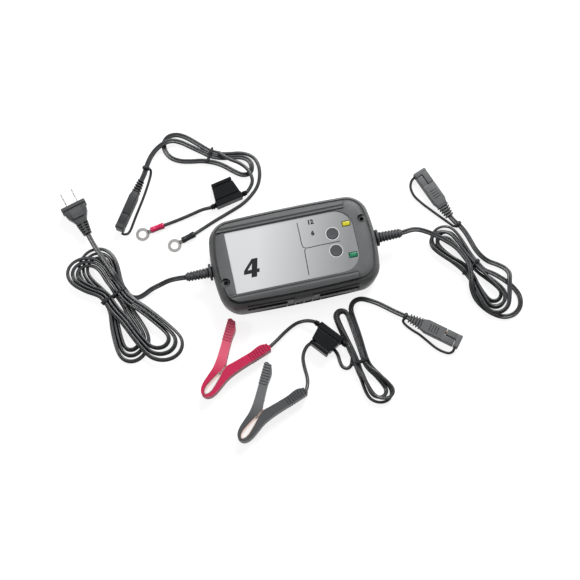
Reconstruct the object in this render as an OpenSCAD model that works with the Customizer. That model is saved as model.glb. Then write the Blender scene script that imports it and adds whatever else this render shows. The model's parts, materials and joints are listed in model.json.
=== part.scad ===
// Car battery charger with its mains lead, output lead, ring terminal lead and clamp lead.
// Millimetres, +Z up, origin at the middle of the case's underside, +X towards the output lead.

/* [Case] */
// Length over the bulging ends
case_length = 178; // [150:1:220]
// Width over the bulging long sides
case_width = 102.5; // [90:0.5:124]
// Height of the closed case
case_height = 40; // [34:1:50]
// Radius of the four corners seen from above, before the sides bulge
corner_radius = 18; // [14:1:26]
// How far each end bulges past its corners
end_bulge = 6.5; // [0:0.5:8]
// How far each long side bulges past its corners
side_bulge = 2; // [0:0.5:3]
// Thickness of the moulded walls
case_wall = 2.4; // [1.8:0.2:3.2]
// Height of the joint between the two halves
split_height = 14; // [11:1:17]

/* [Front panel] */
// Length of the printed label
label_length = 136; // [120:1:150]
// Width of the printed label
label_width = 68; // [60:1:74]
// Thickness of the label
label_thickness = 0.8; // [0.4:0.1:1.2]
// Radius of the two round push buttons
button_radius = 6.2; // [4:0.1:8]
// Distance between the two buttons
button_pitch = 19; // [17:0.5:24]
// How far a button goes down
button_travel = 0.6; // [0.3:0.1:1]
// Length of an indicator window
window_length = 7.6; // [5:0.1:9]
// Width of an indicator window
window_width = 4.6; // [3:0.1:6]

/* [Wall mounting] */
// Distance of the screw holes from the middle, along the case
hole_offset_x = 77.5; // [70:0.5:79]
// Distance of the screw holes from the middle, across the case
hole_offset_y = 19.5; // [12:0.5:22]
// Radius of the screw holes
hole_radius = 2.3; // [1.8:0.1:2.8]

/* [Connectors] */
// Length of a two-pin connector with its relief and cap
connector_length = 60; // [54:1:66]
// Width of a connector
connector_width = 14.6; // [13:0.1:16]
// Thickness of a connector
connector_height = 9; // [8:0.1:10]
// Width of the mains plug across its face
plug_width = 28; // [24:1:32]
// Distance between the plug's blades
blade_pitch = 12.7; // [12.7:0.1:12.7]

/* [Clamps] */
// Distance from a clamp's hinge to the tip of its jaws
jaw_length = 37; // [32:1:42]
// Distance from a clamp's hinge to the end of its handles
handle_length = 47; // [42:1:54]
// Height of a clamp lying on its side
clamp_height = 15; // [12:0.5:18]
// Bore radius of the ring terminals
ring_bore_radius = 4.2; // [2.6:0.1:5.2]

/* [Leads] */
// Diameter of the leads' solids
lead_diameter = 3.6; // [3:0.1:4]
// Diameter of a single wire
wire_diameter = 3.2; // [2.6:0.1:3.6]
// Diameter of a bundled lead's solid
bundle_diameter = 3.2; // [2.8:0.1:3.2]

/* [Hidden] */

eps = 0.01;
move_gap = 0.3;
half_length = case_length / 2;
half_width = case_width / 2;
hub_height = 21;
corner_steps = 8;
end_steps = 3;
side_steps = 4;

// Panel: the flat top, its label recess and the two raised shoulders.
panel_inset = 11;
label_top = case_height - 0.8;
label_floor = label_top - label_thickness;
roof_under = case_height - case_wall - 1.4;
label_left = -label_length / 2 - 1;
label_right = label_length / 2 - 1;
label_corner = 20;
shoulder_inner = label_width / 2 + 1;
shoulder_outer = half_width - 6.4;
shoulder_width = shoulder_outer - shoulder_inner;
shoulder_start = -half_length;
shoulder_inset = 6.8;
shoulder_end = label_right - 6;
shoulder_rise = 1.4;
shoulder_root = 1.2;

// Controls, measured from the label's right end.
button_x = label_right - 23.5;
window_x = label_right - 7;
window_y = 17.5;
button_stand = 0.5;
button_hole = button_radius + move_gap;
switch_height = 3.4;
control_board_z = case_height - 11;
board_thickness = 1.6;

// Recess in both long walls, with nested angled ribs mirrored about the middle one.
slot_top = case_height - 5.6;
slot_middle = case_height - 16;
slot_foot = 4;
slot_far = 60;
slot_depth = 2.5;
slot_top_depth = 4.4;
rib_width = 1.6;
rib_bends = [9.1, 18.3];
rib_levels = [case_height - 9.2, case_height - 18.5];

// Sunk seats round the mounting holes.
hole_sink_radius = 4.8;
hole_sink_depth = 3;

// Screws that hold the halves together, driven from below.
screw_x = 60;
screw_y = 36;
screw_radius = 1.5;
boss_radius = 4;
screw_head_radius = 3;
screw_head_height = 2.4;
screw_length = 18;

// Boards inside the case and what stands on them.
board_z = 6;
board_length = 118;
board_width = 64;
board_inset = 8;
control_board_length = 30;
control_board_width = 52;
control_post_inset = 4;
part_floor = board_z + board_thickness;
transformer_length = 30;
transformer_width = 26;
transformer_base = 2;
transformer_height = 18;
heatsink_length = 20;
heatsink_width = 40;
heatsink_base = 3;
heatsink_height = 18;
fin_count = 6;
fin_thickness = 2;
capacitor_radius = 5;
capacitor_height = 16;
capacitor_pitch = 14;
capacitor_x = 18;

relief_length = 28;
relief_flange = 2.6;

// Solids of the leads lie on the ground at this height.
lie = 2;

mains_relief_end = [-half_length - relief_length - 0.6, 0, hub_height];
output_relief_end = [half_length + relief_length + 0.6, 0, hub_height];

// ---------------------------------------------------------------- shared geometry

function unit(v) = v / norm(v);

// Quarter of the case seen from above, from the middle of its end to the middle of its side.
function case_quarter(a, b, r) = concat(
    [for (i = [0 : end_steps - 1]) [a, (b - r) * i / end_steps]],
    [for (i = [0 : corner_steps])
        let (t = i * 90 / corner_steps)
        [a - r + r * cos(t), b - r + r * sin(t)]],
    [for (i = [side_steps - 1 : -1 : 0]) [(a - r) * i / side_steps, b]]);

// Whole outline at an inset: four quarters, then each side bulged by a parabola.
function case_outline(inset) =
    let (b = half_width - side_bulge - inset,
         a = half_length - end_bulge - inset,
         quarter = case_quarter(a, b, max(corner_radius - inset, 5)),
         last = len(quarter) - 1,
         ring = concat(
             [for (i = [0 : last - 1]) quarter[i]],
             [for (i = [last : -1 : 1]) [-quarter[i].x, quarter[i].y]],
             [for (i = [0 : last - 1]) -quarter[i]],
             [for (i = [last : -1 : 1]) [quarter[i].x, -quarter[i].y]]))
    [for (p = ring) [p.x * (1 + end_bulge / a * (1 - pow(p.y / b, 2))),
                     p.y * (1 + side_bulge / b * (1 - pow(p.x / a, 2)))]];

// Closed skin through a stack of case outlines, each given as [inset, height].
module case_loft(profile) {
    n = len(case_outline(0));
    last = len(profile) - 1;
    points = [for (s = profile, p = case_outline(s[0])) [p.x, p.y, s[1]]];
    sides = [for (k = [0 : last - 1], i = [0 : n - 1])
        let (j = (i + 1) % n, a = k * n, b = a + n)
        [a + i, b + i, b + j, a + j]];
    floor_face = [[for (i = [0 : n - 1]) i]];
    roof_face = [[for (i = [n - 1 : -1 : 0]) last * n + i]];
    polyhedron(points, concat(floor_face, sides, roof_face), convexity = 6);
}

// One unbroken tube through the path's points, square to it at both ends.
function path_heading(path, i) =
    let (last = len(path) - 1)
    unit(path[min(i + 1, last)] - path[max(i - 1, 0)]);

function tube_ring(centre, heading, radius, sides) =
    let (across = unit(cross([0, 0, 1], heading)), above = cross(heading, across))
    [for (k = [0 : sides - 1])
        let (t = (k + 0.5) * 360 / sides)
        centre + radius * (across * cos(t) + above * sin(t))];

module tube(path, diameter, sides) {
    last = len(path) - 1;
    points = [for (i = [0 : last]) each tube_ring(path[i], path_heading(path, i), diameter / 2, sides)];
    walls = [for (i = [0 : last - 1], k = [0 : sides - 1])
        let (a = i * sides + k, b = i * sides + (k + 1) % sides)
        each [[a, b + sides, b], [a, a + sides, b + sides]]];
    start_face = [[for (k = [0 : sides - 1]) k]];
    end_face = [[for (k = [sides - 1 : -1 : 0]) last * sides + k]];
    polyhedron(points, concat(start_face, walls, end_face), convexity = 10);
}

// Places its children at a point on the ground, turned to a heading.
module placed(spot, heading) {
    translate(spot) rotate([0, 0, heading]) children();
}

// ---------------------------------------------------------------- hanks

// A hank is one tube whose loops pass through a tied waist and open into a lobe at each side.
// A lobe row is [reach, half width, lean, reach step, half width step] for the innermost loop.
hank_waist = 1.9;
hank_pitch = 3.9;
hank_run = 0.34;
hank_rings = 24;
hank_low = 2.4;
hank_rise = 4.6;

// Where the leads are tied, and the heading of each tie's waist.
mains_tie_spot = [-197, 0, 0];
mains_tie_heading = 113;
output_tie_spot = [184, -49, 0];
output_tie_heading = 118;
clamp_tie_spot = [45, -125, 0];
clamp_tie_heading = 99;
ring_tie_spot = [-66, 134.5, 0];
ring_tie_heading = -32;

function ease(x) = let (c = min(1, max(0, x))) c * c * (3 - 2 * c);

function lobe_place(v, reach, half, waist) =
    v < hank_run
        ? let (f = v / hank_run) [(reach - half) * f, -(waist + (half - waist) * ease(f))]
        : v > 1 - hank_run
            ? let (f = (1 - v) / hank_run) [(reach - half) * f, waist + (half - waist) * ease(f)]
            : let (t = 180 * (v - hank_run) / (1 - 2 * hank_run))
              [reach - half + half * sin(t), -half * cos(t)];

function hank_point(t, centre, heading, hand, turn, rows, climb) =
    let (q = abs(t - turn),
         upper = t - floor(t) < 0.5,
         row = rows[(upper ? 0 : 2) + (t >= turn ? 1 : 0)],
         v = 2 * t - floor(2 * t),
         place = lobe_place(v, row[0] + q * row[3], row[1] + q * row[4],
                            hank_waist + q * hank_pitch),
         lean = row[2] * ease(place.x / (0.45 * row[0])),
         along = (upper ? 1 : -1) * place.x * cos(lean),
         across = (upper ? 1 : -1) * (place.y + place.x * sin(lean)) * hand,
         height = hank_low + hank_rise * (climb > 0 ? ease((t - turn + 0.06) / 0.12)
                                                    : 1 - ease((t - turn + 0.06) / 0.12)))
    [centre.x + along * cos(heading) + across * sin(heading),
     centre.y + along * sin(heading) - across * cos(heading),
     height];

function hank_path(centre, heading, hand, first, last, turn, rows, climb) =
    let (steps = round((last - first) * hank_rings),
         loops = [for (k = [0 : steps])
             hank_point(first + (last - first) * k / steps, centre, heading, hand, turn, rows, climb)],
         lead_in = unit(loops[0] - loops[1]),
         lead_out = unit(loops[steps] - loops[steps - 1]))
    concat([loops[0] + lead_in * bundle_diameter], loops, [loops[steps] + lead_out * bundle_diameter]);

// Least distance between two stretches of one tube that are at least half a lobe apart.
function least_gap(path) =
    min([for (i = [0 : len(path) - 2], j = [i + 6 : 1 : len(path) - 1])
        norm(path[i] - path[j])]) - bundle_diameter;

mains_hank_path = hank_path(mains_tie_spot, mains_tie_heading, -1, 0, 6, 3,
    [[44, 9, -4, 5, 4.2], [46, 10, 14, 5, 4.2], [60, 9, -12, 6, 4.2], [72, 8, 10, 8, 4.2]], 1);
output_hank_path = hank_path(output_tie_spot, output_tie_heading, -1, 0, 3.8, 2,
    [[44, 7, 0, 7, 4.2], [44, 7, 6, 7, 4.2], [44, 7, 0, 6, 4.2], [48, 7, -4, 6, 4.2]], 1);
clamp_hank_path = hank_path(clamp_tie_spot, clamp_tie_heading, 1, 0.5, 3, 2,
    [[56, 2, 0, 6, 3.8], [56, 2, 0, 6, 3.8], [42, 7, -10, 6, 4.4], [44, 7, -16, 6, 4.4]], 1);

echo(mains_hank_gap = least_gap(mains_hank_path));
echo(output_hank_gap = least_gap(output_hank_path));
echo(clamp_hank_gap = least_gap(clamp_hank_path));

function hank_start(path) = path[0];
function hank_end(path) = path[len(path) - 1];

// ---------------------------------------------------------------- case

module wall_holes(radius, bottom, top) {
    for (s = [-1, 1])
        translate([s * hole_offset_x, s * hole_offset_y, bottom])
            cylinder(r = radius, h = top - bottom, $fn = 40);
}

module screw_places() {
    for (x = [-1, 1], y = [-1, 1]) translate([x * screw_x, y * screw_y, 0]) children();
}

// Sunk seat and clearance hole of each screw.
module screw_seats() {
    screw_places() translate([0, 0, -1])
        cylinder(r = screw_head_radius + 0.2, h = screw_head_height + 1.2, $fn = 32);
    screw_places() cylinder(r = screw_radius + 0.2, h = case_height, $fn = 24);
}

// One long wall's recess, less the ribs that stand in it.
module wall_grooves() {
    reach = slot_far - rib_bends[0];
    difference() {
        union() {
            for (x = [-slot_far, rib_bends[0]]) {
                translate([x, half_width - slot_depth, slot_foot])
                    cube([reach, 10, slot_top - slot_foot]);
                translate([x, half_width - slot_top_depth, rib_levels[0]])
                    cube([reach, 10, slot_top - rib_levels[0]]);
            }
            translate([-rib_bends[0] - eps, half_width - slot_depth, slot_foot])
                cube([2 * rib_bends[0] + 2 * eps, 10, slot_middle - slot_foot]);
        }
        for (i = [0, 1], s = [-1, 1]) {
            run = slot_far - rib_bends[i];
            translate([s > 0 ? rib_bends[i] : -slot_far - 1, half_width - 8, rib_levels[i]])
                cube([run + 1, 20, rib_width]);
            translate([s * rib_bends[i] - rib_width / 2, half_width - 8, 0])
                cube([rib_width, 20, rib_levels[i] + rib_width]);
        }
        translate([-rib_width / 2, half_width - 8, 0]) cube([rib_width, 20, case_height]);
    }
}

module all_grooves() {
    wall_grooves();
    mirror([0, 1, 0]) wall_grooves();
}

module relief_openings(radius) {
    for (s = [-1, 1])
        translate([s * half_length, 0, hub_height]) rotate([0, 90, 0])
            cylinder(r = radius, h = 20, center = true, $fn = 40);
}

module case_bottom() {
    color("dimgray") {
        difference() {
            case_loft([[3, 0], [1.8, 1.3], [1.2, 6], [0.8, split_height - 0.7], [1.5, split_height]]);
            case_loft([[case_wall + 2.8, case_wall], [case_wall + 1.4, 7],
                       [case_wall + 1.4, split_height + 1]]);
            wall_holes(hole_radius, -1, case_height);
            screw_seats();
            all_grooves();
            relief_openings(6.2);
        }
        difference() {
            union() {
                wall_holes(5.6, case_wall - eps, split_height);
                screw_places() translate([0, 0, case_wall - eps])
                    cylinder(r = boss_radius, h = split_height - case_wall, $fn = 32);
            }
            wall_holes(hole_radius, -1, case_height);
            screw_seats();
        }
    }
}

// The label's recess: square at its left end, round at its right corners.
module label_shape(grow) {
    left = label_left - grow;
    right = label_right + grow;
    half = label_width / 2 + grow;
    translate([left, -half]) square([right - label_corner - left, 2 * half]);
    translate([left, -half + label_corner]) square([right - left, 2 * half - 2 * label_corner]);
    for (s = [-1, 1])
        translate([right - label_corner, s * (half - label_corner)]) circle(r = label_corner, $fn = 64);
}

module button_places() {
    for (s = [-1, 1]) translate([button_x, s * button_pitch / 2, 0]) children();
}

module window_places() {
    for (s = [-1, 1]) translate([window_x, s * window_y, 0]) children();
}

module window_hole(clearance) {
    cube([window_length + 2 * clearance, window_width + 2 * clearance, 30], center = true);
}

// A long raised shoulder: a low ridge beside the label, a valley, and a crest that slopes outwards.
module shoulder() {
    translate([shoulder_start, 0, case_height - shoulder_root]) rotate([90, 0, 90])
        linear_extrude(shoulder_end - shoulder_start)
            polygon([[shoulder_inner, 0], [shoulder_inner, shoulder_root + shoulder_rise * 0.7],
                     [shoulder_inner + shoulder_width * 0.06, shoulder_root + shoulder_rise * 0.9],
                     [shoulder_inner + shoulder_width * 0.24, shoulder_root + shoulder_rise * 0.3],
                     [shoulder_inner + shoulder_width * 0.42, shoulder_root + shoulder_rise],
                     [shoulder_inner + shoulder_width * 0.52, shoulder_root + shoulder_rise * 0.9],
                     [shoulder_outer, 0]]);
}

module case_top() {
    color("dimgray") {
        difference() {
            union() {
                case_loft([[1.5, split_height], [0.6, split_height + 0.8], [0.1, split_height + 6],
                           [0, split_height + 10], [0.3, case_height - 12], [1, case_height - 8.6],
                           [2.4, case_height - 5.6], [3.8, case_height - 3.4], [4.6, case_height - 2.7],
                           [5.2, case_height - 3.4], [6.2, case_height - 3.4], [6.8, case_height - 1.8],
                           [8.8, case_height - 0.7], [panel_inset, case_height]]);
                intersection() {
                    union() {
                        shoulder();
                        mirror([0, 1, 0]) shoulder();
                    }
                    linear_extrude(case_height + 10) polygon(case_outline(shoulder_inset));
                }
            }
            case_loft([[case_wall + 1.4, split_height - 1], [case_wall + 1.2, split_height + 8],
                       [case_wall + 4, case_height - 8]]);
            case_loft([[case_wall + 5, case_height - 9], [case_wall + 8, roof_under]]);
            translate([0, 0, label_floor]) linear_extrude(10) label_shape(0);
            wall_holes(hole_radius, 0, case_height + 1);
            wall_holes(hole_sink_radius, case_height - hole_sink_depth, case_height + 1);
            all_grooves();
            relief_openings(6.2);
            button_places() cylinder(r = button_hole, h = case_height + 2, $fn = 48);
            window_places() translate([0, 0, case_height]) window_hole(0.2);
        }
        difference() {
            union() {
                wall_holes(6.2, split_height, case_height - 4.2);
                screw_places() translate([0, 0, split_height])
                    cylinder(r = boss_radius, h = roof_under - split_height + eps, $fn = 32);
            }
            wall_holes(hole_radius, 0, case_height + 1);
            wall_holes(hole_sink_radius, case_height - hole_sink_depth, case_height + 1);
            screw_places() cylinder(r = screw_radius, h = screw_length + 4, $fn = 24);
        }
    }
}

module label_panel() {
    color("gainsboro") difference() {
        translate([0, 0, label_floor]) linear_extrude(label_thickness) label_shape(-0.1);
        button_places() cylinder(r = button_hole, h = case_height + 2, $fn = 48);
        window_places() translate([0, 0, case_height]) window_hole(0.2);
    }
}

module button(side) {
    tip = control_board_z + board_thickness + switch_height + button_travel + 0.2;
    color("gray") translate([button_x, side * button_pitch / 2, 0]) {
        translate([0, 0, label_floor - 1.6])
            cylinder(r = button_radius, h = label_top + button_stand - label_floor + 1.6, $fn = 48);
        translate([0, 0, tip]) cylinder(r = 1.8, h = label_floor - 1.6 - tip + eps, $fn = 24);
    }
}

module voltage_button() { button(1); }
module type_button() { button(-1); }

module window_lens(side) {
    translate([window_x, side * window_y, 0]) {
        bottom = roof_under - 0.6;
        translate([-window_length / 2, -window_width / 2, bottom])
            cube([window_length, window_width, label_top + 0.3 - bottom]);
        translate([-window_length / 2 - 1, -window_width / 2 - 1, bottom - 1])
            cube([window_length + 2, window_width + 2, 1]);
    }
}

module amber_window() { color("gold") window_lens(1); }
module green_window() { color("seagreen") window_lens(-1); }

// ---------------------------------------------------------------- inside the case

module main_board() {
    color("darkgreen") {
        translate([-board_length / 2, -board_width / 2, board_z])
            cube([board_length, board_width, board_thickness]);
        for (x = [-1, 1], y = [-1, 1])
            translate([x * (board_length / 2 - board_inset), y * (board_width / 2 - board_inset), case_wall])
                cylinder(r = 3, h = board_z - case_wall, $fn = 24);
    }
}

module control_board() {
    color("darkgreen") {
        translate([button_x - 3 * control_post_inset, -control_board_width / 2, control_board_z])
            cube([control_board_length, control_board_width, board_thickness]);
        for (s = [-1, 1])
            translate([button_x - 2 * control_post_inset,
                       s * (control_board_width / 2 - control_post_inset), part_floor])
                cylinder(r = 2, h = control_board_z - part_floor, $fn = 24);
    }
}

module transformer() {
    rim = 2;
    color("khaki") translate([-22, -transformer_width / 2, part_floor]) {
        cube([transformer_length, transformer_width, transformer_base]);
        translate([rim, rim, transformer_base])
            cube([transformer_length - 2 * rim, transformer_width - 2 * rim,
                  transformer_height - transformer_base]);
    }
}

module heatsink() {
    pitch = (heatsink_length - fin_thickness) / (fin_count - 1);
    color("silver") translate([-52, -heatsink_width / 2, part_floor]) {
        cube([heatsink_length, heatsink_width, heatsink_base]);
        for (i = [0 : fin_count - 1])
            translate([i * pitch, 0, heatsink_base])
                cube([fin_thickness, heatsink_width, heatsink_height - heatsink_base]);
    }
}

module capacitors() {
    color("darkslateblue")
        for (i = [-1 : 1]) translate([capacitor_x, i * capacitor_pitch, part_floor])
            cylinder(r = capacitor_radius, h = capacitor_height, $fn = 32);
}

module tact_switches() {
    color("black") button_places() translate([0, 0, control_board_z + board_thickness]) {
        translate([-3, -3, 0]) cube([6, 6, switch_height - 1]);
        translate([0, 0, switch_height - 1]) cylinder(r = 1.5, h = 1, $fn = 24);
    }
}

module indicator_leds() {
    color("white") window_places() translate([-1.5, -1.5, control_board_z + board_thickness])
        cube([3, 3, 2]);
}

module case_screws() {
    color("silver") screw_places() {
        translate([0, 0, 0.4]) difference() {
            cylinder(r = screw_head_radius, h = screw_head_height - 0.2, $fn = 32);
            for (a = [0, 90]) rotate([0, 0, a]) translate([-1.8, -0.4, -1]) cube([3.6, 0.8, 2]);
        }
        translate([0, 0, 0.2 + screw_head_height])
            cylinder(r = screw_radius, h = screw_length - screw_head_height, $fn = 24);
    }
}

// ---------------------------------------------------------------- strain reliefs

// Ribbed boot along +X with its flange against the case wall.
module strain_relief() {
    rib_count = 7;
    rib_pitch = (relief_length - relief_flange - 2) / rib_count;
    rotate([0, 90, 0]) {
        translate([0, 0, 0.6]) cylinder(r = 9, h = relief_flange, $fn = 48);
        translate([0, 0, -5.6]) cylinder(r = 6, h = 7, $fn = 40);
        translate([0, 0, -7.4]) cylinder(r = 7.4, h = 2, $fn = 40);
        translate([0, 0, 0.6]) cylinder(r1 = 4.9, r2 = 3.9, h = relief_length, $fn = 40);
        for (i = [0 : rib_count - 1])
            translate([0, 0, relief_flange + 1.8 + i * rib_pitch])
                cylinder(r = 5.6 - i * 0.12, h = rib_pitch * 0.55, $fn = 40);
    }
}

module mains_strain_relief() {
    color("black") translate([-half_length, 0, hub_height]) rotate([0, 0, 180]) strain_relief();
}

module output_strain_relief() {
    color("black") translate([half_length, 0, hub_height]) strain_relief();
}

// ---------------------------------------------------------------- places of the pieces on the leads

plug_spot = [-212, 73, 9];
plug_heading = 106;
output_connector_spot = [175.5, 12, connector_height / 2];
output_connector_heading = 111;
ring_connector_spot = [-144.5, 120.5, connector_width / 2];
ring_connector_heading = -124;
clamp_connector_spot = [106.5, -89.5, connector_height / 2];
clamp_connector_heading = -39;

fuse_width = 30;
fuse_body_depth = 7;
fuse_wire_offset = 3.3;
fuse_cap_depth = 19;
fuse_thickness = 13;
fuse_neck = 6;
fuse_wire_height = fuse_thickness / 2;
ring_fuse_spot = [-56, 82.5, 0];
ring_fuse_heading = 12;
clamp_fuse_lift = wire_diameter + 0.8;
clamp_fuse_spot = [18, -92, clamp_fuse_lift];
clamp_fuse_heading = 130;

red_ring_spot = [-154.5, 62.5, 0.4];
red_ring_heading = 10;
black_ring_spot = [-123, 43, 0.4];
black_ring_heading = 17;
ring_outer_radius = ring_bore_radius + 3.1;
ring_plate = 1;
sleeve_start = 9.5;
sleeve_length = 15.5;
sleeve_radius = 3;

red_clamp_spot = [-97, -103, 0.3];
black_clamp_spot = [-69, -157, 0.3];
clamp_heading = 42;
handle_spread = 24;

function turned(spot, heading, place) =
    [spot.x + place.x * cos(heading) - place.y * sin(heading),
     spot.y + place.x * sin(heading) + place.y * cos(heading),
     spot.z + place.z];

function fuse_port(spot, heading, side) =
    turned(spot, heading, [side * (fuse_width / 2 + fuse_neck), -fuse_wire_offset, fuse_wire_height]);

function sleeve_end(spot, heading) =
    turned(spot, heading, [sleeve_start + sleeve_length, 0, wire_diameter / 2 + 0.4]);

function handle_end(spot) =
    turned(spot, clamp_heading, [handle_length - 1.5, -handle_spread, 7]);

// ---------------------------------------------------------------- routes of the leads

mains_near_route = [
    mains_relief_end, [-126, 1, 19.5], [-136, 2, 14.5], [-147, 1, 8], [-157, -1, 4], [-166, -5, 2],
    [-173, -9, 2], [-179, -9, 2.2], [-182, -3, 2.4], hank_start(mains_hank_path)
];
mains_far_route = [
    hank_end(mains_hank_path), [-189.5, 15, 9], [-191.5, 21, 10.7], [-195, 29, 10.7], [-201, 43, 10.7],
    [-207, 57, 9.6], plug_spot
];
output_near_route = [
    output_relief_end, [133, 1, 20], [144, -3, 17.5], [154, -9, 15], [163, -16, 13.5], [172, -25, 12.5],
    [178, -36, 12.5], [182, -48, 12.5], [181, -60, 12], [179, -71, 9], [181, -83, 4], [188, -95, 2],
    [197, -104, 2], [207, -109, 2], [218, -108, 2], [226, -101, 2], [228, -90, 2], [223, -78, 2],
    [214, -67, 2], [205, -59, 2.2], [198, -54, 2.4], hank_start(output_hank_path)
];
output_far_route = [
    hank_end(output_hank_path), [219, -80, 6.6], [221, -72, 6.4], [223, -64, 4.5],
    [220, -57, 2.5], [213, -51, 2],
    [205, -46, 2.4], [199, -40, 4], [194, -31, 5], [191, -21, 5], [188, -11, 5], [184, -2, 5],
    [179, 5, 4.8], output_connector_spot
];
ring_route = [
    ring_connector_spot, [-139.5, 128, 6.8], [-135, 137, 6.3], [-129, 146, 6.2], [-121, 153.5, 6.4],
    [-111, 158.5, 6.4], [-102, 159.5, 5], [-93, 156, 3], [-84, 149.5, 2], [-74, 141.5, 2.4], [-65, 134.5, 2.6],
    [-54, 130, 2.4], [-42, 128, 2], [-32, 126, 2], [-25, 121, 2], [-23, 113, 2], [-27, 106, 2],
    [-35, 105, 2], [-43, 109.5, 2], [-51, 116, 2.2], [-59, 122.5, 2.6], [-67, 127.5, 2.6], [-76, 131, 2.2],
    [-88, 133, 2], [-99, 136, 2], [-108, 142, 2], [-112.5, 151, 2], [-112, 160, 2], [-106, 166, 2],
    [-97, 166.5, 2], [-88, 162, 2], [-79, 154, 2.2], [-71, 146, 2.6], [-63, 139, 2.6], [-54, 134.8, 2.4]
];
ring_black_route = [
    [-54, 134.8, 2.4], [-43, 132.8, 2], [-32, 131, 2], [-22, 126, 2], [-17, 119, 2], [-15.5, 110, 2],
    [-17, 100, 2], [-21.5, 90, 2], [-29.5, 81.5, 2], [-41, 73.5, 2], [-57, 67, 2], [-75, 60.5, 2],
    [-90, 54.5, 2], sleeve_end(black_ring_spot, black_ring_heading)
];
ring_split_route = [
    [-55, 135.2, 5.9], [-51, 130.5, 6.3], [-44.5, 124.5, 6.3], [-36.5, 119, 6.3],
    [-30, 112, 6.3], [-26, 103, 6.3],
    [-26, 95, 6.3], [-29, 89.5, 6.4], fuse_port(ring_fuse_spot, ring_fuse_heading, 1)
];
ring_red_route = [
    fuse_port(ring_fuse_spot, ring_fuse_heading, -1), [-85, 75, 5.5], [-95, 73.5, 3.5], [-106, 71.5, 2],
    [-118, 69.2, 2], sleeve_end(red_ring_spot, red_ring_heading)
];
clamp_route = [
    clamp_connector_spot, [100, -84.5, 4], [93, -79, 3], [86, -73, 2.4], [78, -66.5, 2], [69, -61, 2],
    [60, -57.5, 2], [52, -59.5, 2], [48, -66.5, 2], [48.5, -78, 2], [50, -91, 2], [51, -104, 2.2],
    [51.4, -112, 2.4], hank_start(clamp_hank_path)
];
clamp_split_route = [
    hank_end(clamp_hank_path), [37.5, -112, 8.6], fuse_port(clamp_fuse_spot, clamp_fuse_heading, -1)
];
clamp_black_route = [
    [38, -117, 5.4], [35.8, -118.5, 3.2], [33.8, -122.5, 2], [30, -126.5, 2], [26.5, -122, 2], [25, -113, 2],
    [21, -105, 2], [13, -98.5, 2], [4, -94, 2], [-4, -94.5, 2], [-10, -100, 2], [-13.5, -108, 2],
    [-14, -118, 2], [-13.5, -130, 3], [-15.5, -139, 5.2], handle_end(black_clamp_spot)
];
clamp_red_route = [
    fuse_port(clamp_fuse_spot, clamp_fuse_heading, 1), [1, -71, 9], [-5, -69.5, 6], [-13, -70, 3.5],
    [-22, -74, 3], [-30, -79, 3.5], [-37, -84, 5], handle_end(red_clamp_spot)
];

module mains_cord_near() { color("black") tube(mains_near_route, lead_diameter, 8); }
module mains_hank() { color("black") tube(mains_hank_path, bundle_diameter, 6); }
module mains_cord_far() { color("black") tube(mains_far_route, lead_diameter, 8); }
module output_cord_near() { color("black") tube(output_near_route, lead_diameter, 8); }
module output_hank() { color("black") tube(output_hank_path, bundle_diameter, 6); }
module output_cord_far() { color("black") tube(output_far_route, lead_diameter, 8); }
module ring_cord() { color("black") tube(ring_route, lead_diameter, 8); }
module ring_black_wire() { color("black") tube(ring_black_route, wire_diameter, 8); }
module ring_red_wire() {
    color("black") {
        tube(ring_split_route, wire_diameter, 8);
        tube(ring_red_route, wire_diameter, 8);
    }
}
module clamp_cord() { color("black") tube(clamp_route, lead_diameter, 8); }
module clamp_hank() { color("black") tube(clamp_hank_path, bundle_diameter, 6); }
module clamp_black_wire() { color("black") tube(clamp_black_route, wire_diameter, 8); }
module clamp_red_wire() {
    color("black") {
        tube(clamp_split_route, wire_diameter, 8);
        tube(clamp_red_route, wire_diameter, 8);
    }
}

// A tie is a flat band round a lead's waist.
module band(spot, heading, half_across, height) {
    thickness = 0.5;
    length = 4;
    placed(spot, heading) rotate([90, 0, 90]) translate([0, 0, -length / 2])
        difference() {
            translate([-half_across, 0.2]) linear_extrude(length) square([2 * half_across, height]);
            translate([-half_across + thickness, 0.2 + thickness, -1]) linear_extrude(length + 2)
                square([2 * half_across - 2 * thickness, height - 2 * thickness]);
        }
}

module cable_ties() {
    color("black") {
        band(mains_tie_spot, mains_tie_heading, hank_waist + 3 * hank_pitch + 3, 10.8);
        band(output_tie_spot, output_tie_heading, hank_waist + 2 * hank_pitch + 3.4, 10.4);
        band(clamp_tie_spot, clamp_tie_heading, hank_waist + 1.5 * hank_pitch + 3, 10.4);
        band(ring_tie_spot, ring_tie_heading, 10.6, 5.6);
    }
}

// ---------------------------------------------------------------- mains plug

// Local frame of a plug or connector: relief at the origin, +X towards the far end.
module ribbed_relief(length, start_width, end_width, start_height, end_height, ribs) {
    pitch = length / ribs;
    for (i = [0 : ribs - 1]) {
        f = i / (ribs - 1);
        w = start_width + (end_width - start_width) * f;
        h = start_height + (end_height - start_height) * f;
        translate([i * pitch, -w / 2, -h / 2]) cube([pitch * 0.6, w, h]);
        translate([i * pitch, -w / 2 + 0.9, -h / 2 + 0.9]) cube([pitch + eps, w - 1.8, h - 1.8]);
    }
}

plug_relief = 14;
plug_length = 36;
plug_face = 4;
plug_height = 17;

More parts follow.
